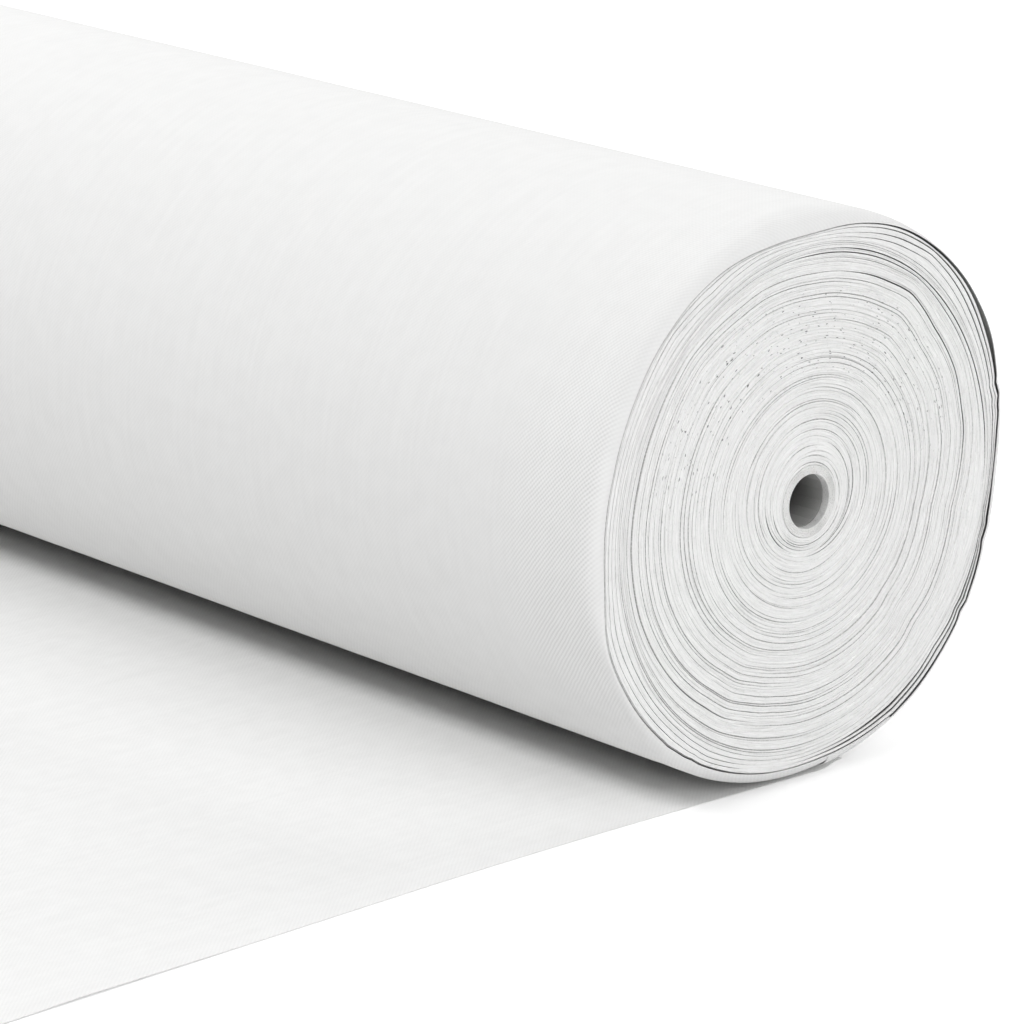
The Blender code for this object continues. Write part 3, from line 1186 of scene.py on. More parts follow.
@dataclass
class OuterTurn:
    """The loose outermost turn, from the ground behind the roll round to its underside.

    Attributes:
        end: How the web is drawn in at the ends.
        thickness: Thickness of the cloth.
        lift_start: How far behind the axis the web leaves the ground.
        lift_bend: How far behind the axis the rising web's tangents cross.
        rise_rows: Rows of the mesh in the stretch that rises off the ground.
        last_angle: Angle to which the turn runs on under its own start, in degrees.
        dive: How far it lies under its own start there.
        dive_from: Angle at which it begins to dive, in degrees.
        dive_to: Angle at which it lies under its start, in degrees.
        step: Angle from one row of the mesh to the next, in degrees.
        shoulder: Least width of the rounded shoulder at an end.
        shoulder_growth: Added width of the shoulder for each metre that the edge is drawn in.
        shoulder_share: Share of a quarter ellipse that the shoulder follows.
        relief: Height of the soft unevenness of the roll's side.
        crease: Depth of the crease along each shoulder, on the front.
        crease_inset: Distance of the crease from the end.
        crease_width: Half the width of the crease.
        wander: How far the edges stray from their plane.
        wander_size: Size of those waves, and how far they reach in from the end.
        end_columns: Distance of the mesh's columns from each end.
        middle_columns: Number of columns between them.
    """

    end: DrawnEnd
    thickness: float = 0.00045
    lift_start: float = 0.025
    lift_bend: float = 0.045
    rise_rows: int = 14
    last_angle: float = 386.0
    dive: float = 0.0012
    dive_from: float = 352.0
    dive_to: float = 378.0
    step: float = 1.3
    shoulder: float = 0.009
    shoulder_growth: float = 1.25
    shoulder_share: float = 0.985
    relief: float = 0.00022
    crease: float = 0.0003
    crease_inset: float = 0.043
    crease_width: float = 0.006
    wander: float = 0.0006
    wander_size: float = 0.03
    end_columns: Sequence[float] = (
        0.0, 0.0005, 0.0012, 0.0021, 0.0032, 0.0045, 0.006, 0.0078, 0.0098, 0.012, 0.0145,
        0.0175, 0.021, 0.025, 0.030, 0.036, 0.043, 0.052, 0.064,
    )
    middle_columns: int = 92

    def build(self, sizes: RollFrame, finish: bpy.types.Material) -> bpy.types.Object:
        """Build the outermost turn.

        Args:
            sizes: The roll's sizes.
            finish: Its material.

        Returns:
            The piece.
        """
        inset = np.array(self.end_columns)
        half = sizes.half_width
        middle = np.linspace(-half + inset[-1], half - inset[-1], self.middle_columns)[1:-1]
        x = np.concatenate([-half + inset, middle, (half - inset)[::-1]])
        path, angle = self._path(sizes)
        outer = self._skin(sizes, x, path, angle)
        inner = outer - self._normals(outer, sizes) * self.thickness
        run = np.linalg.norm(np.diff(path, axis=0, prepend=path[:1]), axis=1).cumsum()
        u, v = np.meshgrid(x, run)
        item = closed_sheet("outer_turn_fleece", outer, inner, np.stack([u, v], axis=-1))
        dress(item, finish)
        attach(item, Body.OUTER.value)
        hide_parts("outer_turn")
        return item

    def _path(self, sizes: RollFrame) -> tuple[np.ndarray, np.ndarray]:
        """Lay out the web's line in the roll's cross-section.

        Args:
            sizes: The roll's sizes.

        Returns:
            The points (y, z) and their angles.
        """
        radius = sizes.radius
        touch = 2 * math.atan(self.lift_bend / radius)
        t = np.linspace(0, 1, self.rise_rows)[:, None]
        start = np.array([self.lift_start, -radius])
        bend = np.array([self.lift_bend, -radius])
        meet = radius * np.array([math.sin(touch), -math.cos(touch)])
        rise = start * (1 - t) ** 2 + 2 * bend * t * (1 - t) + meet * t * t
        last = math.radians(self.last_angle)
        count = round(math.degrees(last - touch) / self.step)
        turn = np.linspace(touch, last, count)[1:]
        under = radius - self.dive * smooth(self.dive_from, self.dive_to, np.degrees(turn))
        arc = under[:, None] * np.stack([np.sin(turn), -np.cos(turn)], axis=1)
        path = np.concatenate([rise, arc])
        angle = np.concatenate([np.arctan2(rise[:, 0], -rise[:, 1]), turn])
        return path, angle

    def _skin(self, sizes: RollFrame, x: np.ndarray, path: np.ndarray, angle: np.ndarray) -> np.ndarray:
        """Spread the line along the roll, drawn in at both ends.

        Args:
            sizes: The roll's sizes.
            x: Places along the roll.
            path: The web's line.
            angle: Angle of each of its points.

        Returns:
            The grid of points of the outer face.
        """
        grid_angle = np.repeat(angle[:, None], len(x), axis=1)
        grid_x = np.repeat(x[None, :], len(path), axis=0)
        inset = sizes.half_width - np.abs(grid_x)
        reach = np.maximum(np.linalg.norm(path, axis=1), sizes.radius)[:, None]
        drop = reach - self.end.rim(sizes, grid_angle)
        width = self.shoulder + self.shoulder_growth * drop
        rest = np.clip(1 - inset / width, 0, 1)
        bent = 1 - np.sqrt(np.clip(1 - self.shoulder_share * rest ** 2, 0, 1))
        drawn = drop * bent / (1 - math.sqrt(1 - self.shoulder_share))
        places = np.stack([grid_x, np.sin(grid_angle) * sizes.radius, np.cos(grid_angle) * sizes.radius], -1)
        soft = cloud(places, (0.16, 0.05, 0.05), 1.3) + 0.5 * cloud(places, (0.05, 0.022, 0.022), 5.1)
        crease = np.exp(-((inset - self.crease_inset) / self.crease_width) ** 2)
        crease = crease * smooth(250, 300, np.degrees(grid_angle))
        settled = self.relief * (soft - 0.8) * smooth(0, 0.02, inset) - self.crease * crease
        scale = 1 - (drawn - settled) / np.linalg.norm(path, axis=1)[:, None]
        y = path[:, 0][:, None] * scale
        z = sizes.axis_height + path[:, 1][:, None] * scale
        around = places * np.array([0, 1, 1]) + np.array([0, 0, 0.5])
        wander = self.wander * (cloud(around, (1, self.wander_size, self.wander_size), 9.4) - 1)
        pulled = grid_x + np.sign(grid_x) * wander * smooth(self.wander_size, 0, inset)
        return np.stack([pulled, y, z], axis=-1)

    def _normals(self, skin: np.ndarray, sizes: RollFrame) -> np.ndarray:
        """Work out the outward direction at each point of the outer face.

        Args:
            skin: The grid of points.
            sizes: The roll's sizes.

        Returns:
            The grid of directions, of length one.
        """
        normal = np.cross(np.gradient(skin, axis=1), np.gradient(skin, axis=0))
        normal /= np.linalg.norm(normal, axis=-1, keepdims=True)
        middle = skin.shape[1] // 2
        outward = skin[:, middle] - np.array([skin[0, middle, 0], 0, sizes.axis_height])
        return normal * np.sign((normal[:, middle] * outward).sum(-1).mean())


@dataclass
class OuterLayers:
    """The last layers under the outermost turn, drawn in with it at one end of the roll.

    Attributes:
        end: How the web is drawn in at the ends.
        layers: Number of layers.
        cloth: Thickness kept free for the outermost turn's cloth.
        depth: How far the ring of layers reaches in from the end.
        setback: How far the layers' edges lie behind the plane of the end.
        split_gap: Gap to the part of the winding that turns with the core.
        bulge: How far the middle of a layer's edge stands out.
        tight_width: Width of a closed slot, as a share of a layer's room.
        tight_depth: Depth of a closed slot.
        widest_share: Widest half of a slot, as a share of its layer.
        lip_share: How far a slot's wall leans over, as a share of half the slot.
        wall_share: Depth of that wall's middle, as a share of the slot's depth.
        wall_limit: Greatest depth that this share is taken of.
        steps: Number of steps round the roll.
        stand_off: Gap to the outermost turn in metres, round the roll.
        slack_shares: Share of a layer's room that is an open gap, round the roll.
        slack_depths: Depth of those gaps in metres, round the roll.
        last_depths: Depth of the gap under the outermost turn in metres, round the roll.
        fold_depths: How far the layers in the middle stand out where they are folded, in metres.
        dark_reaches: Depth in metres at which a gap's painted shade is full, round the roll.
    """

    end: DrawnEnd
    layers: int = 4
    cloth: float = 0.0005
    depth: float = 0.014
    setback: float = 0.0006
    split_gap: float = 0.0001
    bulge: float = 0.0004
    tight_width: float = 0.12
    tight_depth: float = 0.0008
    widest_share: float = 0.36
    lip_share: float = 0.12
    wall_share: float = 0.45
    wall_limit: float = 0.0022
    steps: int = 480
    stand_off: Curve = (
        (0, 0.0005), (5, 0.0011), (10, 0.0015), (20, 0.0017), (60, 0.0017), (75, 0.0020), (86, 0.0010),
        (97, 0.0013), (107, 0.0024), (116, 0.0038), (128, 0.0022), (145, 0.0013), (155, 0.0006),
        (165, 0.0003), (185, 0.0002), (200, 0.0002), (260, 0.0002), (280, 0.0002),
        (289, 0.0003), (325, 0.0005), (345, 0.0004),
    )
    slack_shares: Curve = (
        (0, 0.15), (8, 0.30), (18, 0.50), (50, 0.56), (60, 0.60), (78, 0.66), (90, 0.36), (100, 0.32),
        (120, 0.26), (150, 0.20), (165, 0.14), (200, 0.16), (280, 0.12), (330, 0.14),
    )
    slack_depths: Curve = (
        (0, 0.002), (10, 0.008), (85, 0.008), (110, 0.004), (135, 0.002), (180, 0.0010),
        (230, 0.0013), (280, 0.0012), (330, 0.0012),
    )
    last_depths: Curve = (
        (0, 0.0008), (150, 0.0009), (164, 0.0006), (176, 0.00035), (200, 0.0003), (235, 0.0004),
        (270, 0.00045), (300, 0.00045), (325, 0.0006),
    )
    fold_depths: Curve = (
        (0, 0.0), (38, 0.0), (44, -0.0014), (50, 0.0), (74, 0.0), (77, -0.0014), (82, 0.0), (125, 0.0),
        (143, 0.0026), (149, 0.0010), (165, -0.0008), (180, 0.0), (196, 0.0020), (210, -0.0012),
        (223, 0.0022), (240, 0.0), (262, 0.0), (287, 0.0010), (300, 0.0), (318, -0.0006), (330, 0.0010),
        (345, 0.0),
    )
    dark_reaches: Curve = (
        (0, 0.0008), (25, 0.0007), (45, 0.0004), (60, 0.00025), (90, 0.00025), (105, 0.0004),
        (130, 0.0008), (300, 0.0009),
    )

    def build(self, sizes: RollFrame, side: End, finish: bpy.types.Material) -> bpy.types.Object:
        """Build the layers of one end.

        Args:
            sizes: The roll's sizes.
            side: Which end.
            finish: Their material.

        Returns:
            The piece, one closed ring.
        """
        turn = np.arange(self.steps + 1) / self.steps
        section = np.array([self._section(sizes, t) for t in turn])
        angle = turn[:, None] * FULL_TURN
        radius = section[:, :, 0]
        x = side.value * (sizes.half_width - self.setback + section[:, :, 1])
        points = sizes.on_roll(x, radius, angle)
        index = np.arange(radius.size).reshape(radius.shape)
        index = np.concatenate([index, index[:, :1]], axis=1)
        uv = np.stack([angle * sizes.radius + 0 * radius, radius], axis=-1)
        item = add_mesh("outer_layers_" + side.word, points.reshape(-1, 3), quads(index), uv.reshape(-1, 2))
        self._mark_slots(item, sizes, side)
        shade(item, 40)
        dress(item, finish)
        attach(item, Body.OUTER.value)
        return item

    def _mark_slots(self, item: bpy.types.Object, sizes: RollFrame, side: End) -> None:
        """Keep on each point how deep in a slot it lies, for the material's painted shade.

        Args:
            item: The piece, which is marked.
            sizes: The roll's sizes.
            side: Which end it is at.
        """
        places = np.zeros(len(item.data.vertices) * 3, np.float32)
        item.data.vertices.foreach_get("co", places)
        inset = sizes.half_width - self.setback - side.value * places[::3]
        angle = np.arctan2(places[1::3], sizes.axis_height - places[2::3])
        # Painted shade: the deeper a point lies in a gap, the darker the material paints it.
        depth = np.clip(inset / round_curve(self.dark_reaches, angle) - 0.1, 0, 1)
        attribute = item.data.attributes.new(PAINTED_SLOT_SHADE, "FLOAT", "POINT")
        attribute.data.foreach_set("value", depth.astype(np.float32))

    def _section(self, sizes: RollFrame, turn: float) -> list[tuple[float, float]]:
        """Give the ring's cross-section at one angle.

        Args:
            sizes: The roll's sizes.
            turn: Share of the way round.

        Returns:
            Distance from the axis and height over the layers' plane of each point.
        """
        angle = np.array(turn * FULL_TURN)
        inner = self.end.split_share * sizes.radius + self.split_gap
        outer = float(self.end.rim(sizes, angle) - round_curve(self.stand_off, angle)) - self.cloth
        room = (outer - inner) / self.layers
        marks = [0.0] + [min(k + turn, self.layers) for k in range(self.layers)] + [float(self.layers)]
        points = []
        for low, high in zip(marks[:-1], marks[1:]):
            low_width, low_depth = self._slot(low, angle)
            high_width, high_depth = self._slot(high, angle)
            start, end = self._folded(inner, outer, low, angle), self._folded(inner, outer, high, angle)
            widest = self.widest_share * (end - start)
            low_gap, high_gap = min(low_width * room / 2, widest), min(high_width * room / 2, widest)
            near, far = start + low_gap, end - high_gap
            bulge = self.bulge * min(1, (high - low) * 2)
            points += [
                (start, -low_depth),
                (near - self.lip_share * low_gap, -self.wall_share * min(low_depth, self.wall_limit)),
                (near, -0.1 * bulge),
                ((near + far) / 2, bulge),
                (far, -0.1 * bulge),
                (far + self.lip_share * high_gap, -self.wall_share * min(high_depth, self.wall_limit)),
            ]
        points += [(outer, -high_depth), (outer, -self.depth), (inner, -self.depth)]
        return points

    def _folded(self, inner: float, outer: float, mark: float, angle: np.ndarray) -> float:
        """Give the distance from the axis of one boundary between layers.

        Args:
            inner: Distance of the innermost boundary.
            outer: Distance of the outermost boundary.
            mark: Number of the boundary.
            angle: Angle from the lowest line, in radians.

        Returns:
            The distance, with the folds.
        """
        degrees, depths = zip(*self.fold_depths)
        fold = float(np.interp(math.degrees(angle) % 360, degrees + (360,), depths + (depths[0],)))
        share = mark / self.layers
        return inner + share * (outer - inner) + fold * math.sin(math.pi * share)

    def _slot(self, mark: float, angle: np.ndarray) -> tuple[float, float]:
        """Give the size of the slot at one boundary between layers.

        Args:
            mark: Number of the boundary.
            angle: Angle from the lowest line, in radians.

        Returns:
            The slot's width, as a share of a layer's room, and its depth.
        """
        tight_width, tight_depth = self.tight_width, self.tight_depth
        if mark >= self.layers:
            return tight_width, float(round_curve(self.last_depths, angle))
        if mark <= 0:
            return tight_width, tight_depth
        vary = noise.noise(Vector((mark * 7.3, math.cos(angle) * 3, math.sin(angle) * 3)))
        slack = float(smooth(1.2, 2.1, mark))
        share = float(round_curve(self.slack_shares, angle))
        deep = float(round_curve(self.slack_depths, angle))
        width = (tight_width + (share - tight_width) * slack) * (1 + 0.5 * vary)
        return width, (tight_depth + (deep - tight_depth) * slack) * (1 + 0.4 * vary)


@dataclass
class WindingFace:
    """The winding's cut edges on one end, one unbroken spiral with slots between its turns.

    Attributes:
        end: How the web is drawn in at the ends.
        turns: Number of turns that show as steps.
        steps: Steps in one turn.
        tail_degrees: Angle at which the spiral ends, under the roll.
        core_gap: Gap between the core and the first turn.
        split_gap: Gap between the last turn and the drawn-in layers.
        slot_depth: Depth of the deepest slots.
        slot_widths: Width of the faintest and of the darkest slots, as shares of a turn's thickness.
        wander_share: How far a turn's thickness varies, as a share of the mean.
        widest_share: Widest slot, as a share of its turn.
        wall_share: Place of a slot's wall across half the slot.
        setback: How far the turns' edges lie behind the plane of the end.
        tier: How far turns lie in and out of that plane, from the deepest to the highest.
        lip: How far a turn's rims lie behind its middle plane.
        ridge: How far the middle of a turn's edge stands out.
        back: How far behind the end its back lies.
        weld_reach: Distance at which the edges of neighbouring turns are welded.
        seed: Shifts the pattern of the slots, one way at each end.

    COLUMNS is the number of points across a turn, and core_share the share of the radius at which
    the winding begins. A zone gives two shares of the radius and the slots' usual darkness at each,
    which sets their width, their depth and the painted shade in them. settle_shares gives how far
    the layers settle out of round, by angle, as a share of the radius, and rises how far the turns
    by the core and those further out are raised. dark_slots gives the radius as a share, the first
    and the last angle and the darkness of each slot that stands out.
    """

    end: DrawnEnd
    turns: int = 70
    steps: int = 216
    tail_degrees: float = 4.0
    core_gap: float = 0.0003
    split_gap: float = 0.00005
    slot_depth: float = 0.0016
    slot_widths: tuple[float, float] = (0.10, 0.48)
    wander_share: float = 1.1
    widest_share: float = 0.72
    wall_share: float = 0.42
    setback: float = 0.0006
    tier: float = 0.0016
    lip: float = 0.00008
    ridge: float = 0.00022
    back: float = 0.015
    weld_reach: float = 0.0000008
    seed: float = 31.7

    COLUMNS: ClassVar[int] = 7
    core_share: ClassVar[float] = 0.127
    outer_zone_shares: ClassVar[tuple[float, ...]] = (0.48, 0.80, 0.38, 0.50)
    core_zone_shares: ClassVar[tuple[float, ...]] = (0.20, 0.30, 0.26, 0.0)
    rises: ClassVar[tuple[float, float]] = (0.0062, 0.0032)
    settle_shares: ClassVar[Curve] = (
        (0, -0.014), (18, -0.011), (38, -0.013), (44, -0.028), (53, -0.021), (64, -0.030),
        (77, -0.045), (98, -0.006), (105, -0.004), (115, 0.007), (130, 0.004), (143, 0.0256),
        (152, 0.016), (165, 0.0135), (180, 0.017), (197, 0.036), (205, 0.035), (223, 0.053),
        (240, 0.040), (255, 0.035), (270, 0.037), (287, 0.032), (310, 0.011), (322, -0.002),
        (330, -0.002), (337, -0.013), (348, -0.020),
    )
    dark_slots: ClassVar[Sequence[tuple[float, float, float, float]]] = (
        (0.875, 92, 170, 1.0), (0.845, 104, 186, 0.9), (0.825, 60, 120, 0.5), (0.785, 62, 100, 0.6),
        (0.775, 90, 162, 1.0), (0.745, 100, 170, 0.5), (0.775, 0, 53, 0.4), (0.735, 30, 98, 0.3),
        (0.68, 116, 140, 0.5), (0.875, 180, 228, 0.4), (0.80, 180, 250, 0.3), (0.755, 200, 300, 0.45),
        (0.72, 236, 320, 0.5), (0.785, 304, 332, 0.7), (0.69, 270, 330, 0.3), (0.84, 290, 345, 0.25),
        (0.60, 0, 98, 0.3), (0.49, 205, 262, 0.3),
        (0.44, 286, 352, 0.5), (0.47, 250, 330, 0.4), (0.23, 262, 292, 0.6), (0.205, 276, 318, 0.8),
        (0.175, 285, 300, 0.7),
    )

    def build(self, sizes: RollFrame, side: End, finish: bpy.types.Material) -> bpy.types.Object:
        """Build the winding's face at one end.

        Args:
            sizes: The roll's sizes.
            side: Which end.
            finish: Its material.

        Returns:
            The piece, closed behind the face.
        """
        name = "winding_face_" + side.word
        item = bpy.data.objects.new(name, bpy.data.meshes.new(name))
        bpy.context.scene.collection.objects.link(item)
        tree = CoilTree(self, name + "_tree").tree
        modifier = item.modifiers.new("winding", "NODES")
        modifier.node_group = tree
        values = {
            "Turns": float(self.turns),
            "Steps": float(self.steps),
            "Core Radius": sizes.core_outer + self.core_gap,
            "Split Radius": self.end.split_share * sizes.radius - self.split_gap,
            "Radius": sizes.radius,
            "Axis Height": sizes.axis_height,
            "End Plane": sizes.half_width - self.setback,
            "Side": float(side.value),
            "Slot Depth": self.slot_depth,
            "Seed": self.seed * side.value,
            "Finish": finish,
        }
        for socket in tree.interface.items_tree:
            if socket.item_type == "SOCKET" and socket.in_out == "INPUT":
                modifier[socket.identifier] = values[socket.name]
        graph = bpy.context.evaluated_depsgraph_get()
        mesh = bpy.data.meshes.new_from_object(item.evaluated_get(graph), depsgraph=graph)
        item.modifiers.remove(modifier)
        item.data = mesh
        mesh.name = name
        self._close(item, sizes, side)
        shade(item, 40)
        dress(item, finish)
        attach(item, Body.ROLL.value)
        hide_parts("wound_web")
        return item

    def _close(self, item: bpy.types.Object, sizes: RollFrame, side: End) -> None:
        """Close the relief with straight walls and a flat back.

        Args:
            item: The piece, whose mesh is changed.
            sizes: The roll's sizes.
            side: Which end.
        """
        shell = bmesh.new()
        shell.from_mesh(item.data)
        rims = [edge for edge in shell.edges if edge.is_boundary]
        log.info("%s: %d open edges before its back is added", item.name, len(rims))
        grown = bmesh.ops.extrude_edge_only(shell, edges=rims)["geom"]
        back = [part for part in grown if isinstance(part, bmesh.types.BMVert)]
        for vertex in back:
            vertex.co.x = side.value * (sizes.half_width - self.back)
        self._close_back(shell, back, sizes.axis_height)
        bmesh.ops.recalc_face_normals(shell, faces=shell.faces)
        open_edges = sum(edge.is_boundary for edge in shell.edges)
        shell.to_mesh(item.data)
        shell.free()
        log.info("%s: %d open edges, %d faces", item.name, open_edges, len(item.data.polygons))

    def _close_back(self, shell: bmesh.types.BMesh, back: list[bmesh.types.BMVert], height: float) -> None:
        """Fill the flat back between its inner and its outer circle.

        Args:
            shell: The mesh.
            back: Points of both circles.
            height: Height of the roll's axis.
        """
        reach = [math.hypot(vertex.co.y, vertex.co.z - height) for vertex in back]
        middle = (min(reach) + max(reach)) / 2
        circles = [[], []]
        for vertex, distance in zip(back, reach):
            circles[distance > middle].append(vertex)
        for circle in circles:
            circle.sort(key=lambda vertex: math.atan2(vertex.co.y, height - vertex.co.z))
        log.info("circles of %d and %d points", len(circles[0]), len(circles[1]))
        inner, outer = circles
        for k in range(len(inner)):
            shell.faces.new((inner[k - 1], inner[k], outer[k], outer[k - 1]))

    def dark_marks(self) -> list[tuple[float, float, float]]:
        """Turn the dark slots' places on the face into stretches of the spiral.

        Returns:
            First and last boundary number and strength of each.
        """
        found = []
        wound_share = self.end.split_share - self.core_share
        for share, first, last, strength in self.dark_slots:
            plain = 1 + (share - self.core_share) / wound_share * (self.turns - 1)
            part = ((self.tail_degrees - (first + last) / 2) / 360) % 1
            mark = round(plain - part) + part
            half = (last - first) / 720
            found.append((mark - half, mark + half, strength))
        return found


class CoilTree:
    """The Geometry Nodes tree that coils the turns of one face of the winding."""

    NUMBERS: ClassVar[Sequence[str]] = (
        "Turns", "Steps", "Core Radius", "Split Radius", "Radius", "Axis Height", "End Plane", "Side",
        "Slot Depth", "Seed",
    )

    def __init__(self, face: WindingFace, name: str) -> None:
        """Build the tree.

        Args:
            face: The face that it makes.
            name: Name of the tree.
        """
        self.face = face
        self.tree = bpy.data.node_groups.new(name, "GeometryNodeTree")
        self.tree.is_modifier = True
        sockets = self.tree.interface
        for label in self.NUMBERS:
            sockets.new_socket(label, in_out="INPUT", socket_type="NodeSocketFloat")
        sockets.new_socket("Finish", in_out="INPUT", socket_type="NodeSocketMaterial")
        sockets.new_socket("Geometry", in_out="OUTPUT", socket_type="NodeSocketGeometry")
        self.maker = maker = NodeMaker(self.tree)
        self.given = given = {s.name: s for s in maker.add("NodeGroupInput").outputs if s.name}
        wound, share, column = self._counted()
        depth = maker.math("SUBTRACT", given["Split Radius"], given["Core Radius"])
        self.pitch = maker.math("DIVIDE", depth, maker.math("SUBTRACT", given["Turns"], 1.0))
        radius, raised, dark = self._relief(wound, column)
        place = self._wrapped(radius, raised, share)
        middle = maker.math("MULTIPLY_ADD", self.pitch, wound, given["Core Radius"])
        on_cloth = maker.vector(maker.product(wound, middle, FULL_TURN), radius, 0.0)
        self._coil(place, on_cloth, dark)

    def _counted(self) -> tuple[Socket, Socket, Socket]:
        """Find each point's place in the winding from its number.

        Returns:
            Turns wound from the core, share of the way round, and number across the turn.
        """
        maker, steps, columns = self.maker, self.given["Steps"], float(self.face.COLUMNS)
        index = maker.add("GeometryNodeInputIndex").outputs[0]
        row = maker.math("FLOOR", maker.math("DIVIDE", index, columns))
        column = maker.math("SUBTRACT", index, maker.product(row, columns))
        wound = maker.math("DIVIDE", row, steps)
        part = maker.math("SUBTRACT", row, maker.product(maker.math("FLOOR", wound), steps))
        unwound = maker.math("DIVIDE", part, steps)
        share = maker.math("FRACT", maker.math("SUBTRACT", self.face.tail_degrees / 360 + 2.0, unwound))
        return wound, share, column

    def _relief(self, wound: Socket, column: Socket) -> tuple[Socket, Socket, Socket]:
        """Shape the edge of each turn between its two slots.

        Args:
            wound: Turns wound from the core.
            column: Number of the point across the turn.

        Returns:
            Distance from the axis before settling, height over the turns' plane, and the painted shade of the
            slots.
        """
        maker, face = self.maker, self.face
        low, high = self._boundary(wound), self._boundary(maker.total(wound, 1.0))
        room = maker.math("SUBTRACT", high[0], low[0])
        full = maker.math("MINIMUM", maker.math("DIVIDE", room, maker.product(self.pitch, 0.4)), 1.0)
        gap_low = maker.math("MINIMUM", low[1], maker.product(room, face.widest_share))
        gap_high = maker.math("MINIMUM", high[1], maker.product(room, face.widest_share))
        near = maker.math("MULTIPLY_ADD", gap_low, 0.5, low[0])
        far = maker.math("MULTIPLY_ADD", gap_high, -0.5, high[0])
        centre = maker.product(maker.total(near, far), 0.5)
        seeded = maker.total(wound, self.given["Seed"], 400.0)
        slide = maker.math("SUBTRACT", maker.line_noise(seeded, 0.8), 0.5)
        tier = maker.product(slide, face.tier, full)
        lip = maker.total(tier, maker.product(full, -face.lip))
        ridge = maker.total(tier, maker.product(full, face.ridge))
        wall_low = maker.math("MULTIPLY_ADD", gap_low, face.wall_share, low[0])
        wall_high = maker.math("MULTIPLY_ADD", gap_high, -face.wall_share, high[0])
        radius = maker.pick(column, (low[0], wall_low, near, centre, far, wall_high, high[0]))
        sunk = [maker.product(side[2], share) for share in (-1.0, -0.4) for side in (low, high)]
        raised = maker.pick(column, (sunk[0], sunk[2], lip, ridge, lip, sunk[3], sunk[1]))
        # Painted shade: the slots' darkness, on their walls and floors.
        dark = maker.pick(column, (low[3], low[3], 0.0, 0.0, 0.0, high[3], high[3]))
        return radius, raised, dark

    def _boundary(self, mark: Socket) -> tuple[Socket, Socket, Socket, Socket]:
        """Describe the slot between two turns.

        Args:
            mark: Number of the boundary, counted in turns from the core.

        Returns:
            Distance from the axis, width, depth and painted shade of the slot.
        """
        maker, given, pitch, face = self.maker, self.given, self.pitch, self.face
        plain = maker.math("MULTIPLY_ADD", maker.math("SUBTRACT", mark, 1.0), pitch, given["Core Radius"])
        seeded = maker.total(mark, given["Seed"], 100.0)
        left = maker.math("SUBTRACT", given["Turns"], mark)
        inside = maker.product(maker.ranged(mark, 1.0, 1.6), maker.ranged(left, 0.0, 0.6))
        uneven = maker.math("SUBTRACT", maker.line_noise(seeded, 2.7), 0.5)
        wavy = maker.total(plain, maker.product(uneven, pitch, inside, face.wander_share))
        kept = maker.math("MINIMUM", maker.math("MAXIMUM", wavy, given["Core Radius"]), given["Split Radius"])
        span = maker.math("DIVIDE", plain, given["Radius"])
        patchy = maker.ranged(maker.line_noise(seeded, 2.9), 0.42, 0.70)
        zones = (face.outer_zone_shares, face.core_zone_shares)
        zone = maker.total(*(maker.ranged(span, *shares) for shares in zones))
        strength = maker.product(patchy, zone)
        for start, end, value in face.dark_marks():
            reach = maker.product(
                maker.ranged(mark, start - 0.05, start + 0.03, 0.0, value),
                maker.ranged(mark, end - 0.03, end + 0.05, 1.0, 0.0),
            )
            strength = maker.math("MAXIMUM", strength, reach)
        strength = maker.math("MINIMUM", maker.total(strength, 0.05), 1.0)
        width = maker.product(pitch, maker.ranged(strength, 0.0, 1.0, *face.slot_widths, "LINEAR"))
        deep = maker.ranged(strength, 0.0, 1.0, 0.12, 1.0, "LINEAR")
        depth = maker.product(given["Slot Depth"], deep, inside)
        return kept, width, depth, maker.product(strength, inside)

    def _wrapped(self, radius: Socket, raised: Socket, share: Socket) -> Socket:
        """Place the points round the roll's axis.

        Args:
            radius: Distance from the axis before settling.
            raised: Height over the turns' plane.
            share: Share of the way round.

        Returns:
            The points' places.
        """
        maker, given = self.maker, self.given
        angle = maker.product(share, FULL_TURN)
        sine, cosine = maker.math("SINE", angle), maker.math("COSINE", angle)
        settled = self._settled(radius, share, cosine)
        return maker.vector(
            maker.product(given["Side"], maker.total(given["End Plane"], raised)),
            maker.product(sine, settled),
            maker.math("SUBTRACT", given["Axis Height"], maker.product(cosine, settled)),
        )

    def _settled(self, radius: Socket, share: Socket, cosine: Socket) -> Socket:
        """Settle the layers out of round, most from 0.72 of the radius, and raise the inner ones.

        Args:
            radius: Distance from the axis before settling.
            share: Share of the way round.
            cosine: Cosine of the angle.

        Returns:
            Distance from the axis after settling.
        """
        maker, face, full = self.maker, self.face, self.given["Radius"]
        curve = maker.add("ShaderNodeFloatCurve")
        line = curve.mapping.curves[0]
        values = [(degrees / 360, 0.5 + 5 * value) for degrees, value in face.settle_shares]
        values.append((1.0, values[0][1]))
        line.points[0].location, line.points[1].location = values[0], values[-1]
        for place in values[1:-1]:
            line.points.new(*place)
        for point in line.points:
            point.handle_type = "VECTOR"
        curve.mapping.update()
        maker.feed(curve.inputs["Value"], share)
        shift = maker.product(maker.math("SUBTRACT", curve.outputs[0], 0.5), 0.2)
        span = maker.math("DIVIDE", radius, full)
        split = face.end.split_share
        weight = maker.product(
            maker.ranged(span, 0.42, 0.72),
            maker.ranged(span, split - 0.09, split, 1.0, 0.0),
        )
        rise = maker.product(
            maker.ranged(span, face.core_share, 0.22),
            maker.ranged(span, 0.24, 0.46, *face.rises),
            maker.ranged(span, 0.50, 0.80, 1.0, 0.0),
        )
        return maker.total(radius, maker.product(shift, weight, full), maker.product(cosine, rise, -1.0))

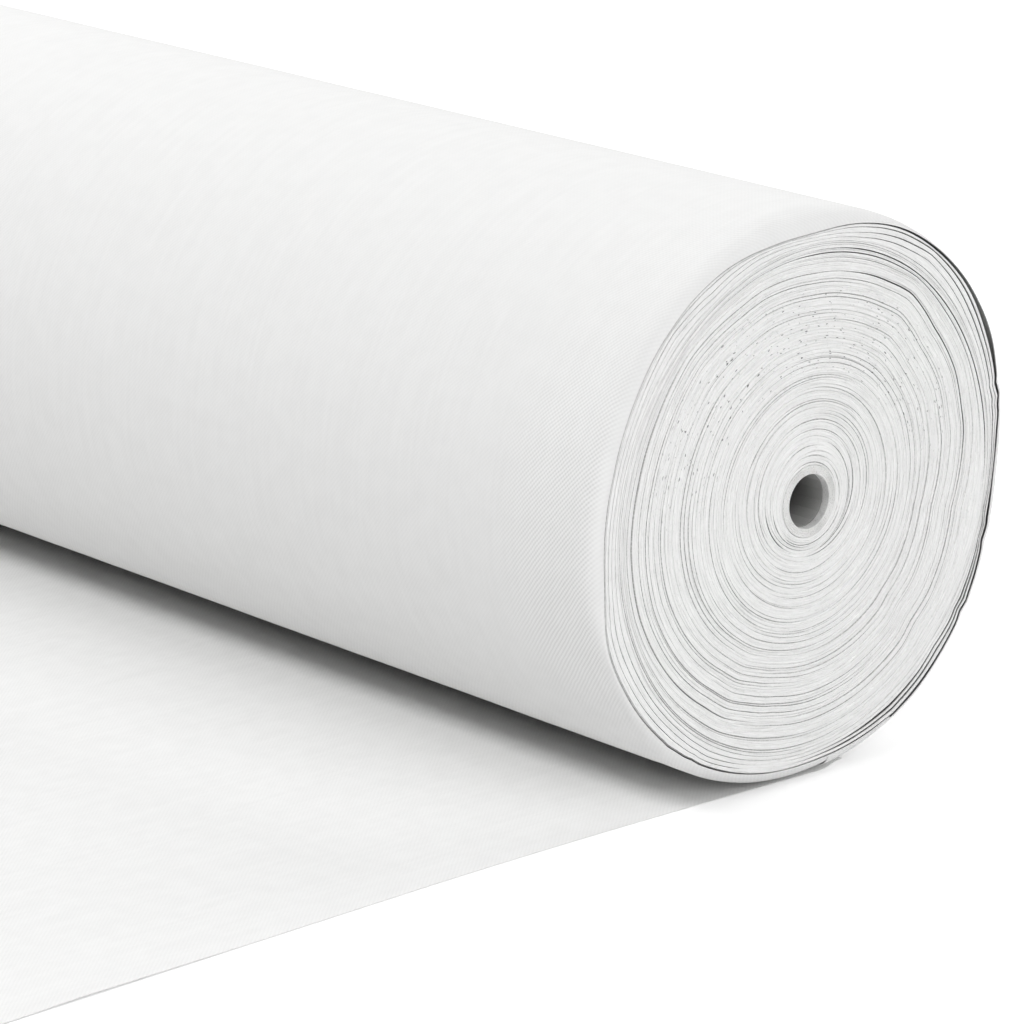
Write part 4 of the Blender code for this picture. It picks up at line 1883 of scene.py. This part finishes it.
    def _coil(self, place: Socket, on_cloth: Socket, dark: Socket) -> None:
        """Wind a grid of points up to the spiral and put it out as one dressed mesh.

        Args:
            place: Where each point goes.
            on_cloth: Its place on the cloth.
            dark: The painted shade of the slot at the point.
        """
        maker, given = self.maker, self.given
        grid = maker.add("GeometryNodeMeshGrid")
        rows = maker.total(maker.product(given["Turns"], given["Steps"]), 1.0)
        maker.feed(grid.inputs["Vertices X"], rows)
        grid.inputs["Vertices Y"].default_value = self.face.COLUMNS
        on_points = maker.add("GeometryNodeFieldOnDomain", data_type="FLOAT_VECTOR", domain="POINT")
        maker.feed(on_points.inputs[0], on_cloth)
        marked = maker.store(grid.outputs["Mesh"], "UVMap", on_points.outputs[0], "FLOAT2", "CORNER")
        # The slots' painted shade, kept on each point for the material.
        marked = maker.store(marked, PAINTED_SLOT_SHADE, dark, "FLOAT", "POINT")
        moved = maker.add("GeometryNodeSetPosition")
        maker.feed(moved.inputs["Geometry"], marked)
        maker.feed(moved.inputs["Position"], place)
        merged = maker.add("GeometryNodeMergeByDistance")
        maker.feed(merged.inputs["Geometry"], moved.outputs[0])
        merged.inputs["Distance"].default_value = self.face.weld_reach
        real = maker.add("GeometryNodeRealizeInstances")
        maker.feed(real.inputs["Geometry"], merged.outputs[0])
        dressed = maker.add("GeometryNodeSetMaterial")
        maker.feed(dressed.inputs["Geometry"], real.outputs[0])
        maker.feed(dressed.inputs["Material"], given["Finish"])
        maker.feed(maker.add("NodeGroupOutput").inputs[0], dressed.outputs[0])


@dataclass
class WoundBody:
    """The body of the winding between its two faces.

    Attributes:
        end: How the web is drawn in at the ends.
        face_back: Distance of its flat ends from the ends of the roll.
        cone_start: Distance from an end at which it begins to widen.
        cone_end: Distance from an end at which it has its full width.
        skin_gap: Gap to the outside of the outermost turn.
        core_gap: Gap to the core.
        neck_gap: How much narrower its ends are than the faces in front of them.
        sides: Number of steps round the axis.
    """

    end: DrawnEnd
    face_back: float = 0.0153
    cone_start: float = 0.034
    cone_end: float = 0.060
    skin_gap: float = 0.0024
    core_gap: float = 0.0003
    neck_gap: float = 0.0003
    sides: int = 180

    def build(self, sizes: RollFrame, finish: bpy.types.Material) -> bpy.types.Object:
        """Build the body of the winding.

        Args:
            sizes: The roll's sizes.
            finish: Its material.

        Returns:
            The piece.
        """
        half = sizes.half_width
        inner = sizes.core_outer + self.core_gap
        neck = self.end.split_share * sizes.radius - self.neck_gap
        right = [
            (half - self.face_back, inner),
            (half - self.face_back, neck),
            (half - self.cone_start, neck),
            (half - self.cone_end, sizes.radius - self.skin_gap),
        ]
        left = [(-x, radius) for x, radius in reversed(right)]
        item = turned("winding_body", sizes, np.array(right + left), self.sides)
        dress(item, finish)
        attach(item, Body.ROLL.value)
        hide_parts("wound_web")
        return item


@dataclass
class Core:
    """The paperboard tube, with its plies showing at the cut ends.

    Attributes:
        chamfer: Size of the worn corners.
        mouth_depth: How far in from an end the bore is narrower.
        mouth_inset: How much narrower its radius is there.
        plies: Number of plies that show on a cut end.
        ply_groove: Half the width of the groove between two plies.
        ply_depth: Depth of that groove.
        sides: Number of steps round the axis.
    """

    chamfer: float = 0.0005
    mouth_depth: float = 0.0062
    mouth_inset: float = 0.0008
    plies: int = 4
    ply_groove: float = 0.00022
    ply_depth: float = 0.00035
    sides: int = 144

    def build(self, sizes: RollFrame, finish: bpy.types.Material) -> bpy.types.Object:
        """Build the core.

        Args:
            sizes: The roll's sizes.
            finish: Its material.

        Returns:
            The piece.
        """
        inner, outer, end = sizes.core_inner - self.mouth_inset, sizes.core_outer, sizes.half_width
        right = [
            (end - self.mouth_depth, sizes.core_inner),
            (end - self.mouth_depth, inner),
            (end - self.chamfer, inner),
            (end, inner + self.chamfer),
        ]
        for k in range(1, self.plies):
            middle = inner + (outer - inner) * k / self.plies
            right += [
                (end, middle - self.ply_groove),
                (end - self.ply_depth, middle),
                (end, middle + self.ply_groove),
            ]
        right += [(end, outer - self.chamfer), (end - self.chamfer, outer)]
        left = [(-x, radius) for x, radius in reversed(right)]
        item = turned("core_board", sizes, np.array(right + left), self.sides)
        dress(item, finish)
        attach(item, Body.ROLL.value)
        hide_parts("core_tube")
        return item


@dataclass(frozen=True)
class Panel:
    """One soft light panel, turned to the roll.

    Attributes:
        name: Its name.
        place: Where its middle is.
        wide: Its width.
        high: Its height.
        power: Its power in watts.
    """

    name: str
    place: tuple[float, float, float]
    wide: float
    high: float
    power: float

    def build(self, aim: Vector) -> None:
        """Make the panel's lamp.

        Args:
            aim: The point that it is turned to.
        """
        lamp = bpy.data.lights.new(self.name, "AREA")
        lamp.shape = "RECTANGLE"
        lamp.size, lamp.size_y = self.wide, self.high
        lamp.energy = self.power
        item = bpy.data.objects.new(self.name, lamp)
        bpy.context.scene.collection.objects.link(item)
        item.location = self.place
        item.rotation_euler = (aim - Vector(self.place)).to_track_quat("-Z", "Y").to_euler()
        item.visible_camera = False


@dataclass(frozen=True)
class Studio:
    """Floor, light and camera.

    Attributes:
        floor_size: Length of the floor's sides.
        floor_level: Height of the floor.
        floor_colour: Colour of the floor.
        floor_lift: Light that the floor adds towards the camera alone.
        sky: Strength of the even light from all round.
        aim: Point that the panels are turned to.
        panels: The lamps.
        camera_place: Where the camera is.
        azimuth: Angle of its view round the object, in degrees.
        elevation: Angle of its view over the floor, in degrees.
        lens: Its focal length in millimetres.
        sensor: Width of its picture in millimetres.
    """

    floor_size: float = 6.6
    floor_level: float = -0.0001
    floor_colour: Colour = (0.9, 0.9, 0.9, 1)
    floor_lift: float = 0.30
    sky: float = 0.02
    aim: tuple[float, float, float] = (0.2, 0.0, 0.15)
    panels: Sequence[Panel] = (
        Panel("front_panel", (0.2, -3.1, 3.7), 5.0, 1.0, 110.0),
        Panel("back_panel", (0.2, 3.2, 3.6), 5.0, 2.6, 68.0),
        Panel("low_back_panel", (0.2, 4.8, 1.2), 5.0, 2.0, 70.0),
        Panel("right_panel", (4.2, -0.4, 3.2), 3.0, 3.0, 66.0),
        Panel("low_right_panel", (5.2, -0.4, 1.6), 3.5, 1.8, 50.0),
        Panel("left_panel", (-4.0, -0.5, 3.0), 3.0, 3.0, 156.0),
    )
    camera_place: tuple[float, float, float] = (3.01037, -2.27530, 1.15318)
    azimuth: float = 47.794
    elevation: float = 16.855
    lens: float = 172.56
    sensor: float = 36.0

    def build(self) -> None:
        """Make the floor, the light and the camera."""
        self._floor()
        self._sky()
        for panel in self.panels:
            panel.build(Vector(self.aim))
        self._camera()
        bpy.context.scene.view_settings.view_transform = "Standard"

    def _floor(self) -> None:
        """Lay a pale floor that is white to the camera and still takes the object's shadow."""
        half = self.floor_size / 2
        corners = [(-half, -half), (half, -half), (half, half), (-half, half)]
        mesh = bpy.data.meshes.new("floor")
        mesh.from_pydata([(x, y, self.floor_level) for x, y in corners], [], [(0, 1, 2, 3)])
        item = bpy.data.objects.new("floor", mesh)
        bpy.context.scene.collection.objects.link(item)
        material, maker, bsdf = new_material("floor_finish")
        bsdf.inputs["Base Color"].default_value = self.floor_colour
        bsdf.inputs["Roughness"].default_value = 1.0
        bsdf.inputs["Specular IOR Level"].default_value = 0.0
        glow = maker.add("ShaderNodeEmission")
        glow.inputs["Strength"].default_value = self.floor_lift
        lit = maker.add("ShaderNodeAddShader")
        maker.feed(lit.inputs[0], bsdf.outputs[0])
        maker.feed(lit.inputs[1], glow.outputs[0])
        self._show_to_camera(maker, bsdf, lit, material.node_tree.nodes["Material Output"])
        mesh.materials.append(material)

    def _sky(self) -> None:
        """Light the object evenly from all round, in front of a white background."""
        world = bpy.data.worlds.new("studio")
        bpy.context.scene.world = world
        world.use_nodes = True
        maker = NodeMaker(world.node_tree)
        light = world.node_tree.nodes["Background"]
        light.inputs["Strength"].default_value = self.sky
        light.inputs["Color"].default_value = (1, 1, 1, 1)
        white = maker.add("ShaderNodeBackground")
        white.inputs["Color"].default_value = (1, 1, 1, 1)
        self._show_to_camera(maker, light, white, world.node_tree.nodes["World Output"])

    def _show_to_camera(self, maker: NodeMaker, usual: bpy.types.Node, shown: bpy.types.Node,
                        output: bpy.types.Node) -> None:
        """Show one shader to the camera and another to all other light.

        Args:
            maker: The tree's maker.
            usual: Shader that the other light meets.
            shown: Shader that the camera sees.
            output: The tree's output.
        """
        choice = maker.add("ShaderNodeMixShader")
        maker.feed(choice.inputs[0], maker.add("ShaderNodeLightPath").outputs["Is Camera Ray"])
        maker.feed(choice.inputs[1], usual.outputs[0])
        maker.feed(choice.inputs[2], shown.outputs[0])
        maker.feed(output.inputs["Surface"], choice.outputs[0])

    def _camera(self) -> None:
        """Put the camera where the photograph was taken from."""
        data = bpy.data.cameras.new("camera")
        data.lens = self.lens
        data.sensor_width = self.sensor
        data.clip_end = 100.0
        item = bpy.data.objects.new("camera", data)
        bpy.context.scene.collection.objects.link(item)
        turn, rise = math.radians(self.azimuth), math.radians(self.elevation)
        back = Vector((math.sin(turn) * math.cos(rise), -math.cos(turn) * math.cos(rise), math.sin(rise)))
        right = Vector((math.cos(turn), math.sin(turn), 0))
        axes = Matrix((right, back.cross(right), back)).transposed().to_4x4()
        item.matrix_world = Matrix.Translation(self.camera_place) @ axes
        bpy.context.scene.camera = item


def dress_kept_nodes(finishes: Finishes) -> None:
    """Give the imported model's own nodes that stay in view their materials.

    Args:
        finishes: The object's materials.
    """
    materials = {"core_liner": finishes.paper}
    for place in ("left", "middle", "right"):
        materials["start_tape_" + place] = finishes.tape
    for name, material in materials.items():
        dress(frame["nodes"][name], material)
        log.info("%s keeps its shape", name)


def main() -> None:
    """Build every piece in order."""
    logging.basicConfig(level=logging.INFO, format="%(message)s")
    sizes = RollFrame.read()
    finishes = Finishes(sizes)
    end = DrawnEnd()
    Studio().build()
    pieces = [
        LaidWeb().build(sizes, finishes.laid),
        OuterTurn(end).build(sizes, finishes.outer),
        WoundBody(end).build(sizes, finishes.wound),
        Core().build(sizes, finishes.board),
    ]
    for side in End:
        pieces.append(OuterLayers(end).build(sizes, side, finishes.wound))
        pieces.append(WindingFace(end).build(sizes, side, finishes.wound))
    for piece in pieces:
        log.info("%s: %d faces", piece.name, len(piece.data.polygons))
    dress_kept_nodes(finishes)


if __name__ == "__main__":
    main()
